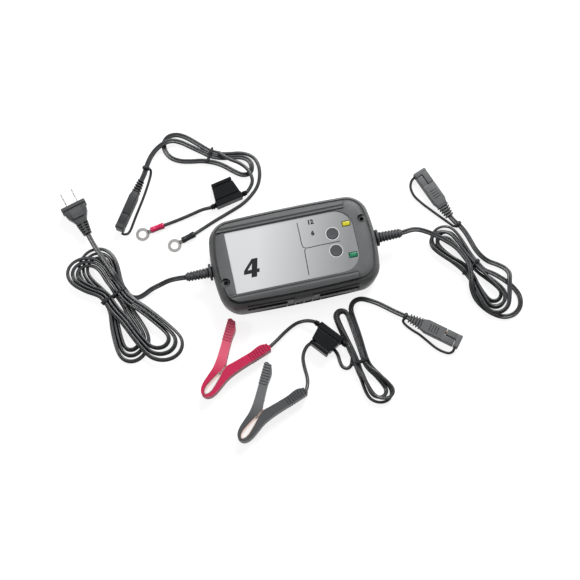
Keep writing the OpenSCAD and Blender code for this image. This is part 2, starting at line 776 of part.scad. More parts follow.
module plug_body() {
    color("black") placed(plug_spot, plug_heading) {
        ribbed_relief(plug_relief, 9, 12.6, 7.6, 10, 5);
        translate([plug_relief, 0, 0]) rotate([90, 0, 90])
            linear_extrude(4) square([13.6, 10.6], center = true);
        intersection() {
            translate([0, 0, -plug_height / 2]) linear_extrude(plug_height)
                polygon([[plug_relief + 3, -6.8], [plug_relief + 11, -plug_width / 2 + 2.4],
                         [plug_length - plug_face, -plug_width / 2 + 1.4],
                         [plug_length - plug_face, plug_width / 2 - 1.4],
                         [plug_relief + 11, plug_width / 2 - 2.4], [plug_relief + 3, 6.8]]);
            rotate([90, 0, 0]) translate([0, 0, -plug_width / 2]) linear_extrude(plug_width)
                polygon([[plug_relief + 3, -5.3], [plug_relief + 12, -6.8], [plug_length, -7.4],
                         [plug_length, 7.4], [plug_relief + 12, 6.8], [plug_relief + 3, 5.3]]);
        }
        difference() {
            translate([plug_length - plug_face, -plug_width / 2, -plug_height / 2])
                cube([plug_face, plug_width, plug_height]);
            for (s = [-1, 1])
                translate([plug_length - 3, s * blade_pitch / 2 - 0.75, -3.2]) cube([4, 1.5, 6.4]);
        }
    }
}

module plug_blades() {
    color("silver") placed(plug_spot, plug_heading)
        for (s = [-1, 1]) difference() {
            translate([plug_length - 3, s * blade_pitch / 2 - 0.75, -3.2]) cube([20.5, 1.5, 6.4]);
            translate([plug_length + 14, s * blade_pitch / 2, 0]) rotate([90, 0, 0])
                cylinder(r = 1.6, h = 4, center = true, $fn = 24);
        }
}

// ---------------------------------------------------------------- two-pin connectors

connector_relief = 16;
cap_short = 6;
cap_long = 18;
pin_offset = connector_width / 4;
pin_radius = 1.9;

// The body ends in a long half with a socket and a short half with a bare pin.
module connector_body_shape() {
    w = connector_width;
    intersection() {
        translate([0, 0, -connector_height / 2]) linear_extrude(connector_height)
            polygon([[connector_relief - 1, -w / 2 + 1.4], [connector_relief + 4, -w / 2],
                     [connector_length - cap_short, -w / 2], [connector_length - cap_short, w / 2],
                     [connector_relief + 4, w / 2], [connector_relief - 1, w / 2 - 1.4]]);
        rotate([90, 0, 0]) translate([0, 0, -w / 2]) linear_extrude(w)
            polygon([[connector_relief - 1, -connector_height / 2 + 1],
                     [connector_relief + 4, -connector_height / 2],
                     [connector_length, -connector_height / 2], [connector_length, connector_height / 2],
                     [connector_relief + 4, connector_height / 2],
                     [connector_relief - 1, connector_height / 2 - 1]]);
    }
}

module connector_body(side) {
    difference() {
        connector_body_shape();
        translate([connector_length - cap_long, side > 0 ? 0 : -20, -20])
            cube([40, 20, 40]);
        translate([connector_length - cap_long, -side * pin_offset, 0]) rotate([0, 90, 0])
            cylinder(r = pin_radius + move_gap, h = 30, $fn = 24);
        translate([connector_length - cap_long - 8, side * pin_offset, 0]) rotate([0, 90, 0])
            cylinder(r = pin_radius, h = 12, $fn = 24);
        for (i = [0 : 3], s = [-1, 1])
            translate([connector_relief + 8 + i * 3, -4, s * connector_height / 2 - 0.4]) cube([1, 8, 0.8]);
    }
    ribbed_relief(connector_relief - 1 + eps, 9.4, connector_width - 2.6, 6.4, connector_height - 1.2, 5);
}

module connector_cap(side) {
    w = connector_width;
    h = connector_height;
    difference() {
        union() {
            translate([connector_length - cap_short + move_gap, -w / 2, -h / 2])
                cube([cap_short - move_gap, w, h]);
            translate([connector_length - cap_long + move_gap, side > 0 ? move_gap : -w / 2, -h / 2])
                cube([cap_long - move_gap - 1, w / 2 - move_gap, h]);
        }
        translate([connector_length - cap_long - 1, side * pin_offset, 0]) rotate([0, 90, 0])
            cylinder(r = pin_radius + move_gap, h = 14, $fn = 24);
    }
}

module connector_pin(side) {
    translate([connector_length - cap_long - 8, side * pin_offset, 0]) rotate([0, 90, 0])
        cylinder(r = pin_radius, h = 19, $fn = 24);
}

module at_output_connector() { placed(output_connector_spot, output_connector_heading) children(); }
module at_ring_connector() {
    placed(ring_connector_spot, ring_connector_heading) rotate([90, 0, 0]) children();
}
module at_clamp_connector() { placed(clamp_connector_spot, clamp_connector_heading) children(); }

module output_connector() { color("black") at_output_connector() connector_body(-1); }
module output_cap() { color("dimgray") at_output_connector() connector_cap(-1); }
module ring_connector() { color("black") at_ring_connector() connector_body(1); }
module ring_cap() { color("dimgray") at_ring_connector() connector_cap(1); }
module clamp_connector() { color("black") at_clamp_connector() connector_body(1); }
module clamp_cap() { color("dimgray") at_clamp_connector() connector_cap(1); }

module connector_contacts() {
    color("goldenrod") {
        at_output_connector() connector_pin(-1);
        at_ring_connector() connector_pin(1);
        at_clamp_connector() connector_pin(1);
    }
}

// Soft straps that keep the caps with their connectors, each ending in a collar round its lead.
tether_diameter = 2;
output_tether_route = [
    [147.9, 62.4, 4.5], [144.5, 60, 3.6], [141.8, 54, 2.4], [143, 44, 2], [149, 34, 2], [157, 24, 2],
    [165, 14.5, 2], [172, 6.5, 2], [177, 0.5, 3.2], [179.8, -0.9, 4.7]
];
ring_tether_route = [
    [-176.4, 67.8, 4], [-174, 66, 3.4], [-170, 66.2, 2.6], [-166.5, 69.5, 2], [-163, 75, 2], [-157.6, 84, 2],
    [-151.3, 94, 2], [-145, 104.3, 2], [-138, 117, 2], [-133, 127.5, 2.4], [-132.2, 131.5, 4],
    [-133.8, 132.8, 6.2]
];
clamp_tether_route = [
    [145.9, -131.6, 4.5], [143.6, -134.4, 3.4], [139.5, -135.2, 2.4], [134, -132.5, 2], [127, -126.5, 2],
    [120, -117.5, 2], [113, -108.5, 2], [106.5, -102, 2], [101, -95, 2], [99.5, -91, 2.6], [101.1, -89.1, 4]
];

module collar(spot, heading) {
    placed(spot, heading) rotate([0, 90, 0])
        rotate_extrude($fn = 32) translate([lead_diameter / 2 + 1.2, 0]) circle(r = 0.8, $fn = 16);
}

module output_tether() {
    color("black") {
        tube(output_tether_route, tether_diameter, 8);
        collar([182, 0.8, 4.9], 125);
    }
}

module ring_tether() {
    color("black") {
        tube(ring_tether_route, tether_diameter, 8);
        collar([-136.5, 134, 6.5], 63);
    }
}

module clamp_tether() {
    color("black") {
        tube(clamp_tether_route, tether_diameter, 8);
        collar([103, -86.8, 4.2], 142);
    }
}

// ---------------------------------------------------------------- fuse holders

// Local frame: wires along X, cap towards +Y, flat on its side.
module fuse_body() {
    difference() {
        union() {
            translate([-fuse_width / 2, -fuse_body_depth, 0])
                cube([fuse_width, fuse_body_depth, fuse_thickness]);
            for (s = [-1, 1]) translate([s * fuse_width / 2, -fuse_wire_offset, fuse_wire_height])
                rotate([0, s * 90, 0]) {
                    cylinder(r = 2.9, h = fuse_neck, $fn = 32);
                    translate([0, 0, fuse_neck - 2.4]) cylinder(r = 3.2, h = 1.6, $fn = 32);
                }
        }
        translate([-10, -4, fuse_thickness / 2 - 2.4]) cube([20, 5, 4.8]);
        translate([-fuse_width / 2 - 1, -2.2, -1]) cube([1.8, 1, fuse_thickness + 2]);
        translate([fuse_width / 2 - 0.8, -2.2, -1]) cube([1.8, 1, fuse_thickness + 2]);
    }
}

module fuse_cap() {
    difference() {
        linear_extrude(fuse_thickness)
            polygon([[-fuse_width / 2 + 0.6, move_gap], [fuse_width / 2 - 0.6, move_gap],
                     [fuse_width / 2 - 3.6, fuse_cap_depth - 3], [fuse_width / 2 - 3.6, fuse_cap_depth],
                     [-fuse_width / 2 + 3.6, fuse_cap_depth], [-fuse_width / 2 + 3.6, fuse_cap_depth - 3]]);
        translate([-10.5, -1, fuse_thickness / 2 - 3]) cube([21, 14, 6]);
        for (z = [-1, fuse_thickness - 0.8])
            translate([-fuse_width, fuse_cap_depth - 4.6, z]) cube([2 * fuse_width, 1, 1.8]);
    }
}

module blade_fuse() {
    translate([-9.5, 0.2, fuse_thickness / 2 - 2]) cube([19, 11, 4]);
    for (s = [-1, 1]) translate([s * 7 - 2.6, -3.8, fuse_thickness / 2 - 0.4]) cube([5.2, 4.2, 0.8]);
}

module at_ring_fuse() { placed(ring_fuse_spot, ring_fuse_heading) children(); }
module at_clamp_fuse() { placed(clamp_fuse_spot, clamp_fuse_heading) children(); }

module ring_fuse_body() { color("black") at_ring_fuse() fuse_body(); }
module ring_fuse_cap() { color("dimgray") at_ring_fuse() fuse_cap(); }
module clamp_fuse_body() { color("black") at_clamp_fuse() fuse_body(); }
module clamp_fuse_cap() { color("dimgray") at_clamp_fuse() fuse_cap(); }
module blade_fuses() {
    color("orange") {
        at_ring_fuse() blade_fuse();
        at_clamp_fuse() blade_fuse();
    }
}

// ---------------------------------------------------------------- ring terminals

module ring_terminal() {
    difference() {
        union() {
            cylinder(r = ring_outer_radius, h = ring_plate, $fn = 64);
            translate([0, -2.2, 0]) cube([sleeve_start + 3, 4.4, ring_plate]);
        }
        translate([0, 0, -1]) cylinder(r = ring_bore_radius, h = ring_plate + 2, $fn = 64);
    }
}

module ring_terminals() {
    color("silver") {
        placed(red_ring_spot, red_ring_heading) ring_terminal();
        placed(black_ring_spot, black_ring_heading) ring_terminal();
    }
}

// Insulating sleeve with a flat slot for the terminal's tongue.
module sleeve() {
    difference() {
        translate([sleeve_start, 0, sleeve_radius - 0.4]) rotate([0, 90, 0])
            cylinder(r = sleeve_radius, h = sleeve_length, $fn = 40);
        translate([sleeve_start - 1, -2.2, 0]) cube([4, 4.4, ring_plate]);
    }
}

module red_sleeve() { color("crimson") placed(red_ring_spot, red_ring_heading) sleeve(); }
module black_sleeve() { color("black") placed(black_ring_spot, black_ring_heading) sleeve(); }

// ---------------------------------------------------------------- clamps

liner_thickness = 1.1;
liner_height = clamp_height - 1.2;
grip_cover = 1.5;
lug_radius = 3.6;
lug_height = 1.6;
hinge_pin_radius = 1.8;
hinge_bore_radius = 1.86;
hinge_gap = 0.9;
grip_rib_count = 7;
grip_rib_depth = 0.5;

// Edge of the lens-shaped opening between the jaws, moved out by a thickness, from tip to hinge.
function jaw_line(grow) = [
    [-jaw_length + 3.3 - grow, move_gap], [-jaw_length + 4.3 - grow * 0.9, 1.5 + grow * 0.5],
    [-jaw_length + 6.6 - grow * 0.5, 2.6 + grow * 0.85], [-jaw_length + 10.5, 3.1 + grow],
    [-jaw_length * 0.55, 2.7 + grow], [-13, 1.8 + grow], [-8, 1 + grow]];

function reversed(list) = [for (i = [len(list) - 1 : -1 : 0]) list[i]];

// Room inside a grip for the lugs, the pin and the spring's leg.
module hinge_room() {
    translate([0, 0, grip_cover]) {
        cylinder(r = lug_radius + 0.6, h = clamp_height - 2 * grip_cover, $fn = 48);
        translate([-8.2, -1, 0]) cube([8.2, 3.4, clamp_height - 2 * grip_cover]);
    }
    translate([0, 0, clamp_height / 2 - 1.6]) cube([15, 6.8, 3.2]);
}

// Half of a clamp lying on its side, jaws towards -X, handle towards +X and +Y.
module grip_half() {
    difference() {
        linear_extrude(clamp_height) polygon(concat(
            [[-jaw_length, move_gap], [-jaw_length + 1, 3.4], [-jaw_length + 4.5, 6.8],
             [-jaw_length + 11, 8.8], [-8, 9.6], [2, 12], [handle_length * 0.35, 17],
             [handle_length - 5, handle_spread + 3], [handle_length - 1.5, handle_spread + 3.6],
             [handle_length, handle_spread + 1.6], [handle_length - 1.5, handle_spread - 4],
             [handle_length - 6, handle_spread - 8], [handle_length * 0.62, 12.4],
             [handle_length * 0.38, 7.6], [9, 3.6], [5, 1.6], [2, hinge_gap], [-6.5, hinge_gap]],
            reversed(jaw_line(liner_thickness + 0.05))));
        hinge_room();
        for (i = [0 : grip_rib_count - 1])
            translate([handle_length - 5 - i * 3, handle_spread + 3 - i * 1.55, -1]) rotate([0, 0, 28])
                translate([-0.6, -0.9, 0]) cube([1.2, 3, clamp_height + 2]);
        for (i = [0 : grip_rib_count - 1], z = [-1, clamp_height - grip_rib_depth])
            translate([handle_length - 5 - i * 3, handle_spread + 3 - i * 1.55, z]) rotate([0, 0, 28])
                translate([-0.6, -14, 0]) cube([1.2, 16, 1 + grip_rib_depth]);
    }
}

// Metal liner of one jaw with the two lugs that carry the hinge pin.
module jaw_half(lug_levels, bore) {
    translate([0, 0, (clamp_height - liner_height) / 2]) linear_extrude(liner_height)
        polygon(concat(jaw_line(0), reversed(jaw_line(liner_thickness))));
    for (z = lug_levels) translate([0, 0, z]) difference() {
        union() {
            cylinder(r = lug_radius, h = lug_height, $fn = 48);
            linear_extrude(lug_height) polygon([[-2, 1.9], [-9.5, 2.1], [-9.5, 1.6], [-3, -0.4]]);
        }
        translate([0, 0, -1]) cylinder(r = bore, h = lug_height + 2, $fn = 32);
    }
}

fixed_lugs = [grip_cover + move_gap, clamp_height - grip_cover - move_gap - lug_height];
moving_lugs = [fixed_lugs[0] + lug_height + move_gap, fixed_lugs[1] - lug_height - move_gap];

module moving_grip() { grip_half(); }
module fixed_grip() { mirror([0, 1, 0]) grip_half(); }
module moving_jaw() { jaw_half(moving_lugs, hinge_bore_radius); }
module fixed_jaw() {
    mirror([0, 1, 0]) jaw_half(fixed_lugs, hinge_pin_radius);
    translate([0, 0, fixed_lugs[0]])
        cylinder(r = hinge_pin_radius, h = fixed_lugs[1] + lug_height - fixed_lugs[0], $fn = 32);
}

module at_red_clamp() { placed(red_clamp_spot, clamp_heading) children(); }
module at_black_clamp() { placed(black_clamp_spot, clamp_heading) children(); }

module red_fixed_grip() { color("crimson") at_red_clamp() fixed_grip(); }
module red_moving_grip() { color("crimson") at_red_clamp() moving_grip(); }
module red_moving_jaw() { color("peru") at_red_clamp() moving_jaw(); }
module black_fixed_grip() { color("dimgray") at_black_clamp() fixed_grip(); }
module black_moving_grip() { color("dimgray") at_black_clamp() moving_grip(); }
module black_moving_jaw() { color("peru") at_black_clamp() moving_jaw(); }

module fixed_jaws() {
    color("peru") {
        at_red_clamp() fixed_jaw();
        at_black_clamp() fixed_jaw();
    }
}

// Coil round the hinge pin with a leg into each handle.
module hinge_spring() {
    wire = 0.5;
    coil = 2.7;
    middle = clamp_height / 2;
    for (i = [-1, 1]) translate([0, 0, middle + i * 0.45])
        rotate_extrude($fn = 40) translate([coil, 0]) circle(r = wire, $fn = 16);
    for (s = [-1, 1]) translate([1, s * (coil - 0.1), middle + s * 0.45])
        rotate([0, 0, s * 12]) rotate([0, 90, 0]) cylinder(r = wire - 0.08, h = 12, $fn = 16);
}

module clamp_springs() {
    color("silver") {
        at_red_clamp() hinge_spring();
        at_black_clamp() hinge_spring();
    }
}

case_bottom();
case_top();
label_panel();
voltage_button();
type_button();
amber_window();
green_window();
main_board();
control_board();
transformer();
heatsink();
capacitors();
tact_switches();
indicator_leds();
case_screws();
mains_strain_relief();
output_strain_relief();
mains_cord_near();
mains_hank();
mains_cord_far();
plug_body();
plug_blades();
cable_ties();
connector_contacts();
output_cord_near();
output_hank();
output_cord_far();
output_connector();
output_cap();
output_tether();
ring_connector();
ring_cap();
ring_tether();
ring_cord();
ring_red_wire();
ring_black_wire();
ring_fuse_body();
ring_fuse_cap();
ring_terminals();
red_sleeve();
black_sleeve();
clamp_connector();
clamp_cap();
clamp_tether();
clamp_cord();
clamp_hank();
clamp_red_wire();
clamp_black_wire();
clamp_fuse_body();
clamp_fuse_cap();
blade_fuses();
red_fixed_grip();
red_moving_grip();
black_fixed_grip();
black_moving_grip();
fixed_jaws();
red_moving_jaw();
black_moving_jaw();
clamp_springs();
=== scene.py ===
"""Looks of a car battery charger and its leads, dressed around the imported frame.

Shapes are worked out in millimetres and become metres when a mesh is made. Local frames follow
the solids: a plug or connector starts at its relief and runs along +X, a fuse holder's wires run
along X with its cap towards +Y, and a clamp turns about its own origin with its jaws towards -X.
"""

import json
import logging
import math
from dataclasses import dataclass
from enum import Enum
from functools import lru_cache, partial
from typing import Any, Callable, Optional, Sequence, Union

import bpy
import numpy as np
from mathutils import Matrix, Vector

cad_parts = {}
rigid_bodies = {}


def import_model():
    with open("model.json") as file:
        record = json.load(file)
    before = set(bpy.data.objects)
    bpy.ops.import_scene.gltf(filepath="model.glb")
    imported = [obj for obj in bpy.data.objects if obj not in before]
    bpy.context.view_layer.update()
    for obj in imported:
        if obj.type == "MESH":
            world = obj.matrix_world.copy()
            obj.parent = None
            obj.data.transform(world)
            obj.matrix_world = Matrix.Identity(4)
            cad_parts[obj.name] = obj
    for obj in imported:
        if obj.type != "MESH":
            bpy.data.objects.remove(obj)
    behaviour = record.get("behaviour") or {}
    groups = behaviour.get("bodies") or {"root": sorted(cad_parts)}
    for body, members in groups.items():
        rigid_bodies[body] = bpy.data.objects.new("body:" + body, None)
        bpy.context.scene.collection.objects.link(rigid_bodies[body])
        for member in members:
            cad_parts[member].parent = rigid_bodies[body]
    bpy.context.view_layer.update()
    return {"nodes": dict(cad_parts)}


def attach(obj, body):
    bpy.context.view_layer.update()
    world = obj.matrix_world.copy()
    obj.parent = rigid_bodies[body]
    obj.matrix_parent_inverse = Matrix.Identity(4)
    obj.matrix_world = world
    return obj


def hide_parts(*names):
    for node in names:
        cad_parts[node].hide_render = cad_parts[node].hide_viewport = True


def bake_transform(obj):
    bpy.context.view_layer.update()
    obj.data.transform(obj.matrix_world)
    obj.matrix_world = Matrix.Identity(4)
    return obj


for left_over in list(bpy.data.objects):
    bpy.data.objects.remove(left_over)

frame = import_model()

LOG = logging.getLogger("charger")
MM = 0.001
ROOT = "charger"
TURN = 2.0 * math.pi
WHITE = (1.0, 1.0, 1.0, 1.0)
Array = np.ndarray
Colour = tuple[float, ...]
Point = tuple[float, float, float]


# ---------------------------------------------------------------- surfaces


def unit(vectors: Array) -> Array:
    """Each vector divided by its own length."""
    return vectors / np.linalg.norm(vectors, axis=-1, keepdims=True)


def ease(x: Array) -> Array:
    """Smooth step: x squared times three minus two x, with x held between 0 and 1."""
    held = np.clip(x, 0.0, 1.0)
    return held * held * (3.0 - 2.0 * held)


def run_of(path: Array) -> Array:
    """Length along a path at each of its points."""
    steps = np.linalg.norm(np.diff(path, axis=0), axis=1)
    return np.concatenate([[0.0], np.cumsum(steps)])


def even(path: Array, step: float) -> Array:
    """The same path with points at even steps of its length.

    Args:
        path: Points of the path.
        step: Wanted distance between points.

    Returns:
        Points from its first to its last, at the nearest whole number of steps.
    """
    run = run_of(path)
    count = max(int(round(run[-1] / step)), 2)
    at = np.linspace(0.0, run[-1], count + 1)
    return np.stack([np.interp(at, run, path[:, k]) for k in range(path.shape[1])], axis=1)


def spline(points: Sequence[Sequence[float]], step: float) -> Array:
    """Smooth curve through points, with even steps.

    Formula: centripetal Catmull-Rom, that is three rounds of straight blending between
    neighbouring points whose knots are the root of their distance apart.

    Args:
        points: Points that the curve passes through.
        step: Distance between the points of the result.

    Returns:
        Points of the curve, with as many coordinates as the given ones.
    """
    given = np.asarray(points, float)
    p = np.vstack([2 * given[0] - given[1], given, 2 * given[-1] - given[-2]])
    knot = np.concatenate([[0.0], np.cumsum(np.linalg.norm(np.diff(p, axis=0), axis=1) ** 0.5)])
    last = len(p) - 3
    p0, p1, p2, p3 = (p[i:last + i, None, :] for i in range(4))
    t0, t1, t2, t3 = (knot[i:last + i, None, None] for i in range(4))
    t = t1 + np.linspace(0.0, 1.0, 16, endpoint=False)[None, :, None] * (t2 - t1)
    a1 = ((t1 - t) * p0 + (t - t0) * p1) / (t1 - t0)
    a2 = ((t2 - t) * p1 + (t - t1) * p2) / (t2 - t1)
    a3 = ((t3 - t) * p2 + (t - t2) * p3) / (t3 - t2)
    b1 = ((t2 - t) * a1 + (t - t0) * a2) / (t2 - t0)
    b2 = ((t3 - t) * a2 + (t - t1) * a3) / (t3 - t1)
    curve = ((t2 - t) * b1 + (t - t1) * b2) / (t2 - t1)
    return even(np.vstack([curve.reshape(-1, given.shape[1]), given[-1:]]), step)


@dataclass
class Skin:
    """Points and faces of closed surfaces, in millimetres.

    Quads carry a corner UV: metres along the surface, and the share of the way round it.
    """

    points: Array
    quads: Array
    quad_uv: Array
    caps: list[list[int]]

    def __add__(self, other: "Skin") -> "Skin":
        """Both surfaces in one."""
        shift = len(self.points)
        return Skin(np.vstack([self.points, other.points]), np.vstack([self.quads, other.quads + shift]),
                    np.concatenate([self.quad_uv, other.quad_uv]),
                    self.caps + [[i + shift for i in cap] for cap in other.caps])

    def volume(self) -> float:
        """Signed volume: a sixth of the sum of the triple products of all triangles.

        Returns:
            Cubic millimetres, positive where the faces point out.
        """
        triangles = [self.quads[:, [0, 1, 2]], self.quads[:, [0, 2, 3]]]
        triangles += [np.array([[c[0], c[i], c[i + 1]] for i in range(1, len(c) - 1)]) for c in self.caps]
        corner = self.points[np.vstack(triangles)]
        return float(np.einsum("ij,ij->i", corner[:, 0], np.cross(corner[:, 1], corner[:, 2])).sum()) / 6.0

    def flipped(self) -> "Skin":
        """The same surface with its faces turned over."""
        return Skin(self.points, self.quads[:, ::-1], self.quad_uv[:, ::-1], [c[::-1] for c in self.caps])

    def moved(self, change: Callable[[Array], Array]) -> "Skin":
        """The surface with its points changed by a function that keeps handedness."""
        return Skin(change(self.points), self.quads, self.quad_uv, self.caps)

    def shifted(self, x: float = 0.0, y: float = 0.0, z: float = 0.0) -> "Skin":
        """The surface moved by these millimetres."""
        return self.moved(lambda p: p + np.array([x, y, z]))

    def mirrored(self) -> "Skin":
        """The surface mirrored in its XZ plane, with its faces still pointing out."""
        return self.moved(lambda p: p * np.array([1.0, -1.0, 1.0])).flipped()


def loft(rings: Array, joined: bool = False) -> Skin:
    """Closed skin over a stack of closed rings with the same number of points.

    Args:
        rings: Array of rings, points and coordinates.
        joined: Whether the last ring runs back into the first, so that no end needs a face.

    Returns:
        The skin, facing outward. Its quads join point j of ring i to its neighbours.
    """
    count, around, _ = rings.shape
    i = np.arange(count if joined else count - 1)[:, None]
    j = np.arange(around)[None, :]
    a, b = i * around + j, i * around + (j + 1) % around
    c, d = ((k + around) % (count * around) for k in (b, a))
    quads = np.stack([a, b, c, d], axis=-1).reshape(-1, 4)
    middles = rings.mean(axis=1) if not joined else rings[:, 0]
    along = run_of(np.vstack([middles, middles[:1]])) * MM
    u0, u1 = (np.broadcast_to(along[i + k], a.shape) for k in (0, 1))
    v0 = np.broadcast_to(j / around, a.shape)
    v1 = v0 + 1.0 / around
    uv = np.stack([u0, v0, u0, v1, u1, v1, u1, v0], axis=-1).reshape(-1, 4, 2)
    ends = [list(range(around))[::-1], list(range((count - 1) * around, count * around))]
    skin = Skin(rings.reshape(-1, 3), quads, uv, [] if joined else ends)
    return skin if skin.volume() >= 0.0 else skin.flipped()


def circle(radius: float, around: int = 40) -> Array:
    """Outline of a circle as (x, y) pairs."""
    angle = np.linspace(0.0, TURN, around, endpoint=False)
    return radius * np.stack([np.cos(angle), np.sin(angle)], axis=1)


def box_section(half_width: Array, half_height: Array, corner: Array, around: int = 40) -> Array:
    """Rounded rectangles in the YZ plane, one for each station.

    Formula: four quarter circles of the corner radius round the corners' own centres.

    Args:
        half_width: Half the width at each station.
        half_height: Half the height at each station.
        corner: Corner radius at each station.
        around: Points of each section, a multiple of four.

    Returns:
        Array of stations, points and (y, z).
    """
    step = np.arange(around)
    angle = (step + 0.5) * TURN / around
    quarter = np.floor(step * 4 / around)
    turn = np.linspace(0.0, math.pi / 2, around // 4)[step % (around // 4)] + quarter * math.pi / 2
    sy, sz = np.sign(np.cos(angle)), np.sign(np.sin(angle))
    w, h, r = (np.asarray(v, float)[:, None] for v in (half_width, half_height, corner))
    r = np.minimum(r, np.minimum(w, h) - 1e-3)
    return np.stack([sy * (w - r) + r * np.cos(turn), sz * (h - r) + r * np.sin(turn)], axis=-1)


def sweep(path: Array, sections: Array, roll: Union[float, Array] = 0.0) -> Array:
    """Rings of a section carried along a path.

    Formula: each ring is its path point plus the section's first value times the level side
    direction and its second times the direction square to that, both turned by the roll.

    Args:
        path: Points of the centreline.
        sections: One section of (side, up) pairs, or one for each point.
        roll: Turn about the path, in radians.

    Returns:
        Array of rings, points and coordinates.
    """
    tangent = unit(np.gradient(path, axis=0))
    side = unit(np.cross(np.array([0.0, 0.0, 1.0]), tangent))
    above = np.cross(tangent, side)
    angle = np.broadcast_to(np.asarray(roll, float), (len(path),))[:, None]
    wide = side * np.cos(angle) + above * np.sin(angle)
    thin = above * np.cos(angle) - side * np.sin(angle)
    shape = np.broadcast_to(sections, (len(path),) + sections.shape[-2:])
    return path[:, None, :] + shape[..., :1] * wide[:, None, :] + shape[..., 1:] * thin[:, None, :]


def drawn(stations: Sequence[Sequence[float]], upright: bool = False) -> Skin:
    """Closed skin through rounded rectangles along +X, or along +Z where it is upright.

    Args:
        stations: Distance along, half width, half height and corner radius of each section.
        upright: Whether it stands up, with half width along X and half height along Y.

    Returns:
        The skin, with a face over each end.
    """
    s = np.asarray(stations, float)
    flat = box_section(s[:, 1], s[:, 2], s[:, 3])
    along = np.broadcast_to(s[:, 0][:, None, None], flat.shape[:2] + (1,))
    return loft(np.concatenate([flat, along] if upright else [along, flat], axis=-1))


def eased_ends(stations: Sequence[Sequence[float]], radius: float) -> list[tuple[float, ...]]:
    """Stations with both ends drawn in along a quarter circle of that radius.

    Args:
        stations: Distance along and sizes of each section.
        radius: Radius of the quarter circle.

    Returns:
        The stations with three more at each end, in order.
    """
    def end(station: Sequence[float], way: float) -> list[tuple[float, ...]]:
        """Three sections from one end's face inwards."""
        return [(station[0] + way * radius * (1.0 - math.cos(a)),
                 *(max(size - radius * (1.0 - math.sin(a)), 0.1) for size in station[1:]))
                for a in np.radians((8.0, 30.0, 58.0))]

    first, last = stations[0], stations[-1]
    inner = [(first[0] + radius, *first[1:]), *stations[1:-1], (last[0] - radius, *last[1:])]
    return [*end(first, 1.0), *inner, *end(last, -1.0)[::-1]]


def prism(outline: Array, bottom: float, top: float) -> Skin:
    """Upright skin over an outline of (x, y) pairs."""
    flat = np.asarray(outline, float)
    rings = [np.column_stack([flat, np.full(len(flat), z)]) for z in (bottom, top)]
    return loft(np.stack(rings))


def block(low: Point, high: Point) -> Skin:
    """Box between two corners, for a piece that gets its edges from a bevel."""
    (x0, y0, z0), (x1, y1, z1) = low, high
    return prism(np.array([(x0, y0), (x1, y0), (x1, y1), (x0, y1)]), z0, z1)


def turned_round(profile: Sequence[Sequence[float]], around: int = 48, upright: bool = True,
                 joined: bool = False) -> Skin:
    """Surface of revolution.

    Args:
        profile: Pairs of radius and height, in order.
        around: Steps of the turn.
        upright: Whether the axis is Z; otherwise it is X.
        joined: Whether the profile closes on itself, clear of the axis; otherwise its ends are faces.

    Returns:
        The skin, in its own frame.
    """
    radius, height = np.asarray(profile, float).T
    angle = np.linspace(0.0, TURN, around, endpoint=False)
    a, b = radius[:, None] * np.cos(angle), radius[:, None] * np.sin(angle)
    level = np.broadcast_to(height[:, None], a.shape)
    rings = np.stack([a, b, level] if upright else [level, a, b], axis=-1)
    return loft(rings.swapaxes(0, 1), joined=True) if joined else loft(rings)


def ribbed(start: float, length: float, count: int, first: tuple[float, float], last: tuple[float, float],
           depth: float = 0.9, share: float = 0.56, corner: float = 1.6) -> list[tuple[float, ...]]:
    """Stations of a tail with ribs across it.

    Args:
        start: Where the tail begins.
        length: Its length, divided evenly among the ribs.
        count: How many ribs.
        first: Half width and half height of the first rib.
        last: The same of the last one.
        depth: How much deeper the grooves are.
        share: Share of each step that is rib.
        corner: Corner radius of the ribs.

    Returns:
        Stations with their distance along, half width, half height and corner radius.
    """
    stations = []
    pitch = length / count
    for i in range(count):
        f = i / max(count - 1, 1)
        w, h = (first[k] + (last[k] - first[k]) * f for k in (0, 1))
        for at, drop in ((0.0, depth), (0.07, 0.22), (0.2, 0.0), (share - 0.16, 0.0), (share - 0.04, 0.22),
                         (share + 0.05, depth)):
            stations.append((start + (i + at) * pitch, w - drop, h - drop, min(corner, h - drop - 0.1)))
    return stations


# ---------------------------------------------------------------- shader maths


def srgb(colour: Sequence[float]) -> Colour:
    """Linear colour of 0 to 255 screen values."""
    c = np.asarray(colour, float) / 255.0
    linear = np.where(c <= 0.04045, c / 12.92, ((c + 0.055) / 1.055) ** 2.4)
    return (float(linear[0]), float(linear[1]), float(linear[2]), 1.0)


def toned(colour: Colour, gain: float, lift: float = 0.0) -> Colour:
    """A linear colour times a gain, plus a lift, and at most 1."""
    return tuple(min(1.0, c * gain + lift) for c in colour[:3]) + (1.0,)


def operator(operation: str, reflected: bool = False) -> Callable[["Value", Any], "Value"]:
    """Method of Value that adds a Math node of one operation.

    Args:
        operation: Blender's name of the operation.
        reflected: Whether the other term comes first.

    Returns:
        The method.
    """
    def method(self: "Value", other: Any) -> "Value":
        """The result of this value and another term."""
        terms = (other, self) if reflected else (self, other)
        return self.graph.add("ShaderNodeMath", {"operation": operation}, dict(enumerate(terms)))

    return method


class Value:
    """A number, colour or vector that varies over a surface: an output socket with operators."""

    def __init__(self, graph: "Graph", socket: bpy.types.NodeSocket) -> None:
        """Wraps a socket of a graph."""
        self.graph, self.socket = graph, socket

    __add__ = __radd__ = operator("ADD")
    __sub__, __rsub__ = operator("SUBTRACT"), operator("SUBTRACT", reflected=True)
    __mul__ = __rmul__ = operator("MULTIPLY")
    larger = operator("MAXIMUM")

    def ramp(self, low: float, high: float, to_low: float = 0.0, to_high: float = 1.0) -> "Value":
        """Straight, clamped change from one range to another."""
        return self.graph.add("ShaderNodeMapRange", {}, {0: self, 1: low, 2: high, 3: to_low, 4: to_high})


